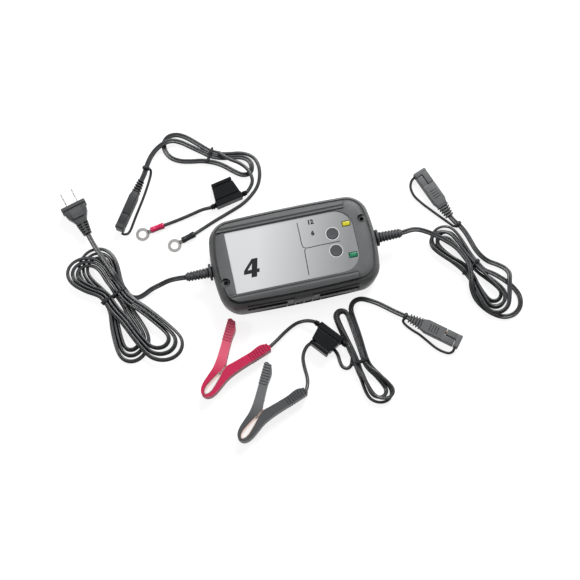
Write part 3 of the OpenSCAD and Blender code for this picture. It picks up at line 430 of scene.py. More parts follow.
class Graph:
    """The node tree of one material."""

    def __init__(self, name: str) -> None:
        """Starts an empty material."""
        self.material = bpy.data.materials.new(f"{name}_finish")
        self.material.use_nodes = True
        self.tree = self.material.node_tree
        self.tree.nodes.clear()

    def add(self, kind: str, settings: Optional[dict] = None, inputs: Optional[dict] = None,
            output: Union[int, str] = 0) -> Value:
        """Adds any node.

        Args:
            kind: Blender's name of the node type.
            settings: Its own properties, which are set first.
            inputs: Sockets by name or number, each with a number, a colour or a Value.
            output: The output that the Value stands for.

        Returns:
            The chosen output.
        """
        node = self.tree.nodes.new(kind)
        for key, value in (settings or {}).items():
            setattr(node, key, value)
        for key, value in (inputs or {}).items():
            if isinstance(value, Value):
                self.tree.links.new(value.socket, node.inputs[key])
            else:
                node.inputs[key].default_value = value
        return Value(self, node.outputs[output])

    def place(self) -> Value:
        """Object coordinates, in metres."""
        return self.add("ShaderNodeTexCoord", output="Object")

    def noise(self, size: float, detail: float = 2.0, at: Optional[Value] = None,
              stretch: Sequence[float] = (1.0, 1.0, 1.0)) -> Value:
        """Soft noise whose lumps are about size millimetres across.

        Args:
            size: Size of a lump in millimetres.
            detail: Finer layers added to it.
            at: Coordinates, or None for the object's own.
            stretch: Scale along each axis.

        Returns:
            The noise, from 0 to 1.
        """
        where = at or self.place()
        mapped = self.add("ShaderNodeMapping", {}, {"Vector": where, "Scale": tuple(stretch)})
        inputs = {"Vector": mapped, "Scale": 1.0 / (size * MM), "Detail": detail}
        return self.add("ShaderNodeTexNoise", {}, inputs)

    def blend(self, factor: Any, first: Any, second: Any) -> Value:
        """Colour between two colours."""
        return self.add("ShaderNodeMix", {"data_type": "RGBA"}, {0: factor, 6: first, 7: second}, output=2)

    def bump(self, height: Value, depth: float) -> Value:
        """Normal of a relief of that depth in millimetres."""
        return self.add("ShaderNodeBump", {}, {"Height": height, "Distance": depth * MM})

    def axes(self, count: int) -> list[Value]:
        """The first axes of the object coordinates, one by one."""
        inputs = {"Vector": self.place()}
        return [self.add("ShaderNodeSeparateXYZ", {}, inputs, output=axis) for axis in range(count)]

    def hollows(self, reach: float, inside: bool = False) -> Value:
        """How much a point is shut in.

        Args:
            reach: How far out of the surface the look goes, in millimetres.
            inside: Whether it goes into the solid instead, so that edges stand out.
        """
        settings = {"samples": 6, "inside": inside}
        return 1.0 - self.add("ShaderNodeAmbientOcclusion", settings, {"Distance": reach * MM}, output="AO")

    def edges(self) -> Value:
        """How much a point lies on a convex edge: how little solid is under it."""
        return self.hollows(0.7, inside=True).ramp(0.12, 0.5)

    def finish(self, **inputs: Any) -> bpy.types.Material:
        """Closes the tree with one Principled shader whose sockets have these values."""
        named = {key.replace("_", " "): value for key, value in inputs.items()}
        return self.close(self.add("ShaderNodeBsdfPrincipled", {}, named))

    def close(self, shader: Value) -> bpy.types.Material:
        """Links a shader to the material's output."""
        node = self.tree.nodes.new("ShaderNodeOutputMaterial")
        self.tree.links.new(shader.socket, node.inputs["Surface"])
        return self.material


# ---------------------------------------------------------------- finishes


@dataclass(frozen=True)
class Moulding:
    """Moulded plastic or rubber: mottled colour, fine grain, edges paler from wear and a painted highlight, and
    painted shade in hollows.
    """

    name: str
    colour: Point
    roughness: float = 0.5
    grain: float = 0.35
    depth: float = 0.012
    mottle: float = 0.08
    rubbed: float = 0.22
    coat: float = 0.0
    specular: float = 0.24
    shade: float = 5.0
    sheen_colour: Optional[Point] = None
    sheen_along: tuple[float, float, float, float] = (1.0, 0.0, 0.0, 1.0)

    def material(self) -> bpy.types.Material:
        """Builds the material: mottle, painted sheen, grain, paler edges, and painted shade where it is shut
        in.

        Returns:
            The material.
        """
        g = Graph(self.name)
        base = srgb(self.colour)
        pale = toned(base, 1.9, 0.012)
        cloud = g.noise(16.0, 3.0)
        grain = g.noise(self.grain, 3.0)
        scuff = g.noise(3.0, 4.0, stretch=(1.0, 3.0, 1.0))
        colour = g.blend(cloud.ramp(0.35, 0.65), toned(base, 1.0 - 3.0 * self.mottle), base)
        # Painted sheen: where a sheen colour is given, the colour runs into it along one direction, a painted
        # reflection of the lamps.
        if self.sheen_colour:
            ux, uy, start, end = self.sheen_along
            x, y = g.axes(2)
            colour = g.blend((x * ux + y * uy).ramp(start * MM, end * MM), colour, srgb(self.sheen_colour))
        colour = g.blend(grain.ramp(0.45, 0.75) * 0.18, colour, pale)
        # Paler convex edges: partly wear, partly a painted highlight along the rims.
        colour = g.blend(g.edges() * self.rubbed, colour, pale)
        # Painted shade: darker where the surface is shut in, in hollows and close to other pieces and the
        # floor.
        colour = g.blend(g.hollows(self.shade).ramp(0.1, 0.5) * 0.9, colour, toned(base, 0.12))
        rough = self.roughness + (scuff - 0.5) * 0.16 + (cloud - 0.5) * 0.08
        return g.finish(Base_Color=colour, Roughness=rough, Normal=g.bump(grain, self.depth),
                        Coat_Weight=self.coat, Coat_Roughness=0.12, Specular_IOR_Level=self.specular)


@dataclass(frozen=True)
class Jacket:
    """Extruded lead jacket: fine lines along the lead, soft scuffs and a faint bloom."""

    name: str
    colour: Point
    roughness: float = 0.42

    def material(self) -> bpy.types.Material:
        """Builds the material, whose lines follow the lead's own UV.

        Returns:
            The material.
        """
        g = Graph(self.name)
        base = srgb(self.colour)
        pale = toned(base, 1.7, 0.01)
        uv = g.add("ShaderNodeUVMap", {"uv_map": "along"})
        lines = g.noise(1.0, 2.0, at=uv, stretch=(0.03, 0.02, 1.0))
        handled, grain = g.noise(22.0, 3.0), g.noise(0.5, 2.0)
        colour = g.blend(handled.ramp(0.4, 0.7) * 0.35, base, pale)
        colour = g.blend(lines.ramp(0.5, 0.7) * 0.12, colour, pale)
        # Painted shade: darker in the groove between the lobes and where the lead lies close to other pieces
        # and the floor.
        colour = g.blend(g.hollows(2.0).ramp(0.1, 0.6) * 0.85, colour, toned(base, 0.15))
        rough = self.roughness + (handled - 0.5) * 0.2 + (grain - 0.5) * 0.08
        return g.finish(Base_Color=colour, Roughness=rough, Normal=g.bump(lines * 0.6 + grain * 0.4, 0.02))


@dataclass(frozen=True)
class Metal:
    """Plated or drawn metal with fine scratches and slightly uneven colour."""

    name: str
    colour: Point
    roughness: float = 0.25
    tarnish: Point = (150, 140, 130)
    stretch: Point = (0.15, 1.0, 1.0)

    def material(self) -> bpy.types.Material:
        """Builds the material.

        Returns:
            The material.
        """
        g = Graph(self.name)
        tarnish = srgb(self.tarnish)
        cloud = g.noise(4.0, 3.0)
        scratch = g.noise(0.12, 2.0, stretch=self.stretch)
        colour = g.blend(cloud.ramp(0.5, 0.8) * 0.35, srgb(self.colour), tarnish)
        # Painted shade: darker, in a deep tarnish colour, in hollows and close to other pieces.
        colour = g.blend(g.hollows(3.0).ramp(0.15, 0.7) * 0.8, colour, toned(tarnish, 0.25))
        rough = self.roughness + (scratch - 0.5) * 0.22 + (cloud - 0.5) * 0.1
        return g.finish(Base_Color=colour, Roughness=rough, Metallic=1.0, Normal=g.bump(scratch, 0.006))


@dataclass(frozen=True)
class TintedLens:
    """Clear tinted plastic over a lamp: deep colour, glossy, paler where it is thin."""

    name: str
    colour: Point
    rim: Point

    def material(self) -> bpy.types.Material:
        """Builds the material.

        Returns:
            The material.
        """
        g = Graph(self.name)
        rim = srgb(self.rim)
        cloud, grain = g.noise(2.5, 2.0), g.noise(0.4, 2.0)
        colour = g.blend(cloud.ramp(0.35, 0.75) * 0.35, srgb(self.colour), rim)
        colour = g.blend(g.edges() * 0.5, colour, rim)
        return g.finish(Base_Color=colour, Roughness=0.14 + grain * 0.12, Normal=g.bump(grain, 0.006),
                        Coat_Weight=0.5 + cloud * 0.3, Coat_Roughness=0.08)


@dataclass(frozen=True)
class PrintWithPaintedReflection:
    """Printed foil whose grey runs into a darker one along the label, a painted reflection, with a fine satin
    grain.
    """

    name: str
    left: Point
    right: Point
    start: float
    end: float
    lean: float = 0.25

    def material(self) -> bpy.types.Material:
        """Builds the material, whose run of colour leans a little from the object's own X.

        Returns:
            The material.
        """
        g = Graph(self.name)
        x, y = g.axes(2)
        # The label's grey is print; its run from paler at the left end to darker at the right is a painted
        # reflection.
        along = (x - y * self.lean).ramp(self.start * MM, self.end * MM)
        colour = g.blend(along, srgb(self.left), srgb(self.right))
        grain, cloud = g.noise(0.25, 3.0), g.noise(30.0, 2.0)
        colour = g.blend(grain.ramp(0.4, 0.7) * 0.06, colour, (0.95, 0.95, 0.95, 1.0))
        rough = 0.4 + (cloud - 0.5) * 0.14 + (grain - 0.5) * 0.06
        return g.finish(Base_Color=colour, Roughness=rough, Normal=g.bump(grain, 0.004),
                        Specular_IOR_Level=0.3)


@dataclass(frozen=True)
class Laminate:
    """Circuit board: green mask over paler tracks, with tinned pads."""

    name: str
    mask: Point = (26, 84, 52)
    track: Point = (58, 122, 78)

    def material(self) -> bpy.types.Material:
        """Builds the material from cells for tracks and small dots for pads.

        Returns:
            The material.
        """
        g = Graph(self.name)
        cells = g.add("ShaderNodeTexVoronoi", {"feature": "DISTANCE_TO_EDGE", "distance": "CHEBYCHEV"},
                      {"Vector": g.place(), "Scale": 240.0, "Randomness": 0.75})
        dots = g.add("ShaderNodeTexVoronoi", {}, {"Vector": g.place(), "Scale": 330.0, "Randomness": 0.3})
        tracks = cells.ramp(0.05, 0.09, 1.0, 0.0)
        pads = dots.ramp(0.16, 0.2, 1.0, 0.0)
        colour = g.blend(tracks * 0.8, srgb(self.mask), srgb(self.track))
        colour = g.blend(pads * 0.85, colour, srgb((196, 196, 190)))
        return g.finish(Base_Color=colour, Roughness=0.3 + tracks * 0.12, Normal=g.bump(tracks + pads, 0.03))


# ---------------------------------------------------------------- making pieces


@dataclass(frozen=True)
class Edge:
    """A rounded edge that a Bevel modifier gives a piece: width in millimetres and steps."""

    width: float
    steps: int = 2
    angle: float = 35.0


def add_object(name: str, data: Any) -> bpy.types.Object:
    """Adds an object of this data to the scene."""
    thing = bpy.data.objects.new(name, data)
    bpy.context.scene.collection.objects.link(thing)
    return thing


def add_skin(name: str, skin: Skin) -> bpy.types.Object:
    """Adds a skin to the scene as a mesh in metres, without its UV."""
    mesh = bpy.data.meshes.new(name)
    mesh.from_pydata((skin.points * MM).tolist(), [], skin.quads.tolist() + skin.caps)
    return add_object(name, mesh)


@lru_cache(maxsize=None)
def material_of(finish: Any) -> bpy.types.Material:
    """The finish's material, made once."""
    return finish.material()


def wear(piece: bpy.types.Object, finish: Any) -> None:
    """Gives a piece one material and smooth faces."""
    piece.data.materials.clear()
    piece.data.materials.append(material_of(finish))
    piece.data.shade_smooth()


def round_edges(piece: bpy.types.Object, edge: Edge) -> None:
    """Adds a bevel, with normals that keep the flats flat."""
    bevel = piece.modifiers.new("rounded_edges", "BEVEL")
    bevel.width, bevel.segments = edge.width * MM, edge.steps
    bevel.limit_method, bevel.angle_limit = "ANGLE", math.radians(edge.angle)
    bevel.harden_normals = True


def carve(piece: bpy.types.Object, skin: Skin) -> None:
    """Hollows a skin out of a piece, whose mesh is then the result.

    Args:
        piece: The piece, still without modifiers.
        skin: What is taken out of it.
    """
    tool = add_skin("cutter", skin)
    cut = piece.modifiers.new("cut", "BOOLEAN")
    cut.operation, cut.solver, cut.object = "DIFFERENCE", "EXACT", tool
    result = bpy.data.meshes.new_from_object(piece.evaluated_get(bpy.context.evaluated_depsgraph_get()))
    piece.modifiers.clear()
    result.name = piece.data.name
    piece.data = result
    bpy.data.objects.remove(tool)


def make(name: str, skin: Skin, finish: Any, body: Optional[str] = ROOT, slot: Optional[str] = None,
         replaces: Sequence[str] = (), sharp: float = 38.0, edge: Optional[Edge] = None,
         cut: Sequence[Skin] = ()) -> bpy.types.Object:
    """Makes a piece from a skin, in place, and hides the solids that it stands for.

    Args:
        name: Name of the piece.
        skin: Its surface in millimetres, in the frame of the solids.
        finish: Finish that it wears.
        body: Body that it rides on, or None where it is blended later.
        slot: Not used.
        replaces: Solids that it stands for.
        sharp: Angle in degrees above which two faces meet in a crease.
        edge: Bevel, if any.
        cut: Skins that are hollowed out of it.

    Returns:
        The piece.
    """
    piece = add_skin(name, skin)
    mesh = piece.data
    corners = np.zeros((len(mesh.loops), 2))
    corners[:skin.quad_uv.size // 2] = skin.quad_uv.reshape(-1, 2)
    mesh.uv_layers.new(name="along").data.foreach_set("uv", corners.ravel())
    mesh.validate()
    for skin_out in cut:
        carve(piece, skin_out)
    wear(piece, finish)
    piece.data.set_sharp_from_angle(angle=math.radians(sharp))
    if edge:
        round_edges(piece, edge)
    if body:
        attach(piece, body)
    if replaces:
        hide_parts(*replaces)
    LOG.info("piece %s: %d points", name, len(piece.data.vertices))
    return piece


def dress(name: str, finish: Any, edge: Edge) -> None:
    """Gives a solid its material and rounds its edges.

    Args:
        name: Name of the solid.
        finish: Finish that it wears.
        edge: Bevel for its edges.
    """
    node = frame["nodes"][name]
    custom = node.data.attributes.get("custom_normal")
    if custom:
        node.data.attributes.remove(custom)
    wear(node, finish)
    weld = node.modifiers.new("joined_faces", "WELD")
    weld.merge_threshold = 2e-6
    round_edges(node, edge)
    LOG.info("solid %s: %s", name, finish.name)


def blend_between(piece: bpy.types.Object, body: str, start: Point, end: Point) -> None:
    """Moves a piece's place into its mesh."""
    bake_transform(piece)


# ---------------------------------------------------------------- camera and studio


@dataclass(frozen=True)
class Viewpoint:
    """Camera above the group's front side, level across its width.

    Turn and elevation are degrees, distance and target millimetres, focal length and frame pixels.
    """

    turn: float = 12.1
    elevation: float = 76.0
    distance: float = 1600.0
    focal: float = 1488.0
    frame: float = 580.0
    sensor: float = 36.0
    target: Point = (-11.2, -31.6, 0.0)

    def place(self) -> None:
        """Adds the scene's camera."""
        phi, tilt = math.radians(self.turn), math.radians(self.elevation)
        right = Vector((math.cos(phi), -math.sin(phi), 0.0))
        ahead = Vector((math.sin(phi) * math.cos(tilt), math.cos(phi) * math.cos(tilt), -math.sin(tilt)))
        above = right.cross(ahead)
        data = bpy.data.cameras.new("camera")
        data.sensor_width, data.lens = self.sensor, self.sensor * self.focal / self.frame
        data.clip_start, data.clip_end = 0.05, 20.0
        camera = add_object("camera", data)
        turn = Matrix((right, above, -ahead)).transposed()
        spot = (Vector(self.target) - ahead * self.distance) * MM
        camera.matrix_world = Matrix.Translation(spot) @ turn.to_4x4()
        bpy.context.scene.camera = camera


@dataclass(frozen=True)
class Softbox:
    """A large soft lamp; its places and size are in metres, its power in watts."""

    name: str
    spot: Point
    aim: Point
    size: float
    power: float

    def place(self) -> None:
        """Adds the lamp, facing what it aims at."""
        data = bpy.data.lights.new(self.name, "AREA")
        data.shape, data.size, data.energy = "SQUARE", self.size, self.power
        lamp = add_object(self.name, data)
        lamp.location = self.spot
        lamp.rotation_euler = (Vector(self.aim) - Vector(self.spot)).to_track_quat("-Z", "Y").to_euler()


@dataclass(frozen=True)
class Studio:
    """White paper lit by a softbox at the back right, a wide dim one overhead and a lamp on the left."""

    surround: float = 0.1
    lamps: tuple[Softbox, ...] = (
        Softbox("key_softbox", (1.05, 1.6, 1.7), (0.0, 0.0, 0.0), 1.3, 66.0),
        Softbox("overhead_softbox", (0.1, 0.5, 2.2), (0.1, 0.5, 0.0), 1.6, 3.6),
        Softbox("left_lamp", (-1.6, 0.2, 1.4), (0.0, 0.0, 0.0), 0.5, 10.0),
    )
    paper_gain: float = 0.84
    paper_half: float = 4.0
    paper_drop: float = 0.0002

    def place(self) -> None:
        """Adds the floor, the surround and the lamps, and sets plain colour handling."""
        scene = bpy.context.scene
        scene.view_settings.view_transform = "Standard"
        world = bpy.data.worlds.new("surround")
        scene.world = world
        world.use_nodes = True
        background = world.node_tree.nodes["Background"]
        background.inputs["Color"].default_value = WHITE
        background.inputs["Strength"].default_value = self.surround
        for lamp in self.lamps:
            lamp.place()
        mesh = bpy.data.meshes.new("paper")
        half = self.paper_half
        corners = [(-half, -half, 0), (half, -half, 0), (half, half, 0), (-half, half, 0)]
        mesh.from_pydata(corners, [], [(0, 1, 2, 3)])
        mesh.materials.append(self.paper())
        floor = add_object("paper", mesh)
        floor.location.z = -self.paper_drop

    def paper(self) -> bpy.types.Material:
        """White paper that keeps its shadows and reads white to the camera and in gloss.

        Returns:
            The material.
        """
        g = Graph("white_paper")
        seen, glossy, through = (g.add("ShaderNodeLightPath", output=f"Is {ray} Ray")
                                 for ray in ("Camera", "Glossy", "Transmission"))
        lit = seen.larger(glossy).larger(through)
        colour = g.blend(g.noise(1.5, 3.0) * 0.04, (0.36, 0.36, 0.36, 1.0), (0.33, 0.33, 0.33, 1.0))
        matte = g.add("ShaderNodeBsdfDiffuse", {}, {"Color": colour})
        glow = g.add("ShaderNodeEmission", {}, {"Color": WHITE, "Strength": lit * self.paper_gain})
        return g.close(g.add("ShaderNodeAddShader", {}, {0: matte, 1: glow}))


# ---------------------------------------------------------------- leads


class Section(Enum):
    """What a lead is drawn as, with its widest measure: joined lobes, a round wire, or a thin strap."""

    TWIN = 5.48
    WIRE = 3.9
    STRAP = 2.8

    def outline(self) -> Array:
        """Section in millimetres, as (side, up) pairs.

        Twin: each lobe is the part of a circle beyond the web's half thickness, so its angles
        run from the web round the outside and back. Wire and strap are circles.

        Returns:
            The pairs, once round.
        """
        if self is not Section.TWIN:
            return circle(self.value / 2, 16)
        lobe, apart, web = 1.34, 1.4, 0.6
        reach = math.pi - math.asin(web / lobe)
        angle = np.linspace(-reach, reach, 12)
        right = np.stack([apart + lobe * np.cos(angle), lobe * np.sin(angle)], axis=1)
        return np.vstack([right, -right])


@dataclass(frozen=True)
class Hank:
    """Loops of a lead through a tied waist, opening into a lobe at each side.

    A lobe row is reach, half width, lean, reach step and half width step of the innermost loop:
    the lobes of the rising end first, before and after the turn, then those of the other end.
    """

    centre: tuple[float, float]
    heading: float
    hand: int
    first: float
    last: float
    turn: float
    rows: tuple[tuple[float, ...], ...]
    waist: float = 1.9
    pitch: float = 3.9
    share: float = 0.34
    low: float = 2.4
    rise: float = 4.6
    lift: float = 0.25

    def path(self, per_loop: int = 48) -> Array:
        """Centreline of the loops.

        Formula: a loop's half runs straight out from the waist while it widens smoothly to the
        lobe's half width, turns half a circle, and comes back the same way. The lobe leans by a
        sideways part that grows with the distance out. Height steps up once, at the turn.

        Args:
            per_loop: Points of one loop.

        Returns:
            Points of the centreline, from the first end to the last.
        """
        t = np.linspace(self.first, self.last, int(round((self.last - self.first) * per_loop)) + 1)
        q = np.abs(t - self.turn)
        upper = (t - np.floor(t)) < 0.5
        rows = np.asarray(self.rows)[np.where(upper, 0, 2) + (t >= self.turn)]
        v = 2.0 * t - np.floor(2.0 * t)
        reach, half = rows[:, 0] + q * rows[:, 3], rows[:, 1] + q * rows[:, 4]
        waist = self.waist + q * self.pitch
        out, back = v < self.share, v > 1.0 - self.share
        part = np.where(out, v, 1.0 - v) / self.share
        bend = math.pi * (v - self.share) / (1.0 - 2.0 * self.share)
        straight = out | back
        along = np.where(straight, (reach - half) * part, reach - half + half * np.sin(bend))
        level = waist + (half - waist) * ease(part)
        across = np.where(straight, np.where(out, -level, level), -half * np.cos(bend))
        lean = np.radians(rows[:, 2] * ease(along / (0.45 * rows[:, 0])))
        way = np.where(upper, 1.0, -1.0)
        ahead = way * along * np.cos(lean)
        aside = way * (across + along * np.sin(lean)) * self.hand
        c, s = math.cos(math.radians(self.heading)), math.sin(math.radians(self.heading))
        height = self.lift + self.low + self.rise * ease((t - self.turn + 0.06) / 0.12)
        return np.stack([self.centre[0] + ahead * c + aside * s,
                         self.centre[1] + ahead * s - aside * c, height], axis=1)


@dataclass(frozen=True)
class Lead:
    """A free lead: free stretches and loops on one smooth line, and its section."""

    name: str
    section: Section
    stretches: tuple[Any, ...]
    solids: tuple[str, ...]
    step: float = 1.6
    hank_roll: float = 62.0
    sway: float = 9.0
    blur: int = 25

    def line(self) -> tuple[Array, Array]:
        """Centreline of the lead, and at each point how much it lies in a hank.

        Formula: the share rides along as a fourth coordinate, a thousandth of its size so that it
        leaves lengths alone. Two rounds of averaging with the neighbours smooth the line.

        Returns:
            Points in millimetres, and a share from 0 to 1 for each.
        """
        parts = []
        for stretch in self.stretches:
            wound = isinstance(stretch, Hank)
            part = stretch.path() if wound else np.asarray(stretch, float)
            parts.append(np.column_stack([part, np.full(len(part), MM if wound else 0.0)]))
        smooth = spline(np.vstack(parts), self.step)
        for _ in range(2):
            smooth[1:-1] = 0.25 * smooth[:-2] + 0.5 * smooth[1:-1] + 0.25 * smooth[2:]
        padded = np.pad(smooth[:, 3] * 1e3, self.blur // 2, mode="edge")
        share = np.convolve(padded, np.ones(self.blur) / self.blur, "valid")
        return smooth[:, :3], np.clip(share, 0.0, 1.0)

    def drawn_along(self, path: Array, roll: Union[float, Array] = 0.0) -> bpy.types.Object:
        """Makes the lead's piece along a path."""
        skin = loft(sweep(path, self.section.outline(), roll))
        return make(self.name, skin, CORD_JACKET, slot="lead_jacket", replaces=self.solids, sharp=60.0)

    def short(self) -> bpy.types.Object:
        """Makes a lead too short to be free, as a spline through its first stretch."""
        return self.drawn_along(spline(self.stretches[0], 1.0))

    def build(self) -> tuple[bpy.types.Object, Array]:
        """Makes the lead and returns it with its centreline in millimetres."""
        path, wound = self.line()
        roll = np.radians(self.hank_roll * wound + np.sin(run_of(path) / 23.0) * self.sway * wound)
        return self.drawn_along(path, roll), path


# ---------------------------------------------------------------- what the pieces wear


grip = partial(Moulding, grain=0.5, depth=0.016, mottle=0.02, shade=2.2)
print_ink = partial(Moulding, roughness=0.4, grain=0.3, rubbed=0.0)
rubber = partial(Moulding, grain=0.3, depth=0.014)


CASE_PLASTIC = Moulding("case_plastic", (106, 107, 108), roughness=0.44, grain=0.45, depth=0.02, mottle=0.03)
INNER_PLASTIC = Moulding("button_plastic", (84, 85, 88), roughness=0.38, grain=0.3, depth=0.01, mottle=0.02)
PLUG_PLASTIC = Moulding("plug_plastic", (88, 89, 90), roughness=0.46, depth=0.015, mottle=0.04)
FUSE_PLASTIC = Moulding("fuse_plastic", (33, 34, 37), roughness=0.3, grain=0.4, depth=0.006, rubbed=0.5,
                        specular=0.1)
TIE_PLASTIC = Moulding("tie_plastic", (48, 50, 52), roughness=0.36, grain=0.3, depth=0.008)
RED_SLEEVE = Moulding("red_sleeve_plastic", (226, 52, 100), roughness=0.24, grain=0.4, depth=0.006, coat=0.3)
DARK_SLEEVE = Moulding("black_sleeve_plastic", (58, 60, 62), roughness=0.34, grain=0.4, depth=0.01)
RUBBER = rubber("relief_rubber", (92, 93, 95), mottle=0.04)
CONNECTOR_RUBBER = rubber("connector_rubber", (110, 111, 112), roughness=0.48, mottle=0.04, shade=3.0)
# Painted shade: the same rubber as the other connectors, darker on the ring connector, which lies on its edge
# and shows a side in shade.
SHADED_CONNECTOR_RUBBER = rubber("dark_connector_rubber", (68, 69, 71), roughness=0.44, shade=3.0)
STRAP_RUBBER = rubber("strap_rubber", (62, 64, 66), roughness=0.4, depth=0.01, rubbed=0.1)
# Painted shade: near-black, for the thin slabs that stand in for the shaded grooves of a connector's grip.
GROOVE_PAINTED_SHADE = rubber("groove_rubber", (20, 21, 22), roughness=0.6, depth=0.01, rubbed=0.0)
RED_GRIP = grip("red_plastic", (212, 44, 88), roughness=0.42)
# The moving grips carry a painted sheen: paler along the handle, as if lit, and their own colour round the
# jaws.
RED_GRIP_PAINTED_SHEEN = grip("pale_red_plastic", (212, 44, 88), roughness=0.42, sheen_colour=(238, 104, 130),
                     sheen_along=(0.46, 0.888, -146.0, -126.0))
DARK_GRIP = grip("black_grip_plastic", (86, 88, 90), roughness=0.44)
BLACK_GRIP_PAINTED_SHEEN = grip("grey_grip_plastic", (86, 88, 90), roughness=0.44, sheen_colour=(118, 119, 120),
                 sheen_along=(0.46, 0.888, -181.0, -161.0))
LABEL_PRINT_AND_REFLECTION = PrintWithPaintedReflection("label_print", (226, 227, 228), (144, 146, 148), -40.0, 60.0)
LABEL_INK = print_ink("label_ink", (36, 37, 40), depth=0.003, mottle=0.02)
LABEL_WHITE = print_ink("label_white", (248, 248, 248), depth=0.003, mottle=0.01)
AMBER_LENS = TintedLens("amber_lens", (214, 208, 20), (240, 236, 90))
GREEN_LENS = TintedLens("green_lens", (8, 128, 84), (50, 170, 120))
AMBER_RIM = print_ink("amber_rim", (104, 100, 34), depth=0.004)
GREEN_RIM = print_ink("green_rim", (24, 92, 70), depth=0.004)
COPPER = Metal("copper_plate", (250, 220, 208), roughness=0.3, tarnish=(214, 150, 126))
TIN = Metal("tinned_copper", (206, 203, 202), roughness=0.3, tarnish=(140, 137, 134))
NICKEL = Metal("nickel_blade", (214, 214, 214), roughness=0.28, tarnish=(180, 178, 174))
SPRING = Metal("spring_steel", (176, 178, 182), roughness=0.22, tarnish=(120, 118, 116))
BRASS = Metal("contact_brass", (212, 176, 104), roughness=0.24, tarnish=(160, 120, 70))
SCREW = Metal("screw_steel", (150, 152, 156), roughness=0.3, tarnish=(110, 108, 106))
ALUMINIUM = Metal("heatsink_metal", (188, 190, 192), roughness=0.34, tarnish=(160, 160, 160))
CORD_JACKET = Jacket("cord_jacket", (66, 67, 69), roughness=0.3)


# ---------------------------------------------------------------- places


@dataclass(frozen=True)
class Place:
    """Where a piece's own frame stands: a spot, and a heading in degrees.

    A piece on edge is first turned a quarter about its own length.
    """

    spot: Point
    heading: float
    on_edge: bool = False

    def move(self, points: Array) -> Array:
        """Points of the piece's own frame, in place.

        Args:
            points: One point or an array of them, in millimetres.

        Returns:
            The same points in the frame of the solids.
        """
        c, s = math.cos(math.radians(self.heading)), math.sin(math.radians(self.heading))
        turn = np.array([[c, -s, 0.0], [s, c, 0.0], [0.0, 0.0, 1.0]])
        if self.on_edge:
            turn = turn @ np.array([[1.0, 0.0, 0.0], [0.0, 0.0, -1.0], [0.0, 1.0, 0.0]])
        return points @ turn.T + np.asarray(self.spot, float)

    def put(self, skin: Skin) -> Skin:
        """The skin moved from its own frame into place."""
        return skin.moved(self.move)

    def point(self, x: float, y: float, z: float) -> Point:
        """A point of the piece's own frame, in place."""
        return tuple(float(v) for v in self.move(np.array([x, y, z])))


# ---------------------------------------------------------------- case


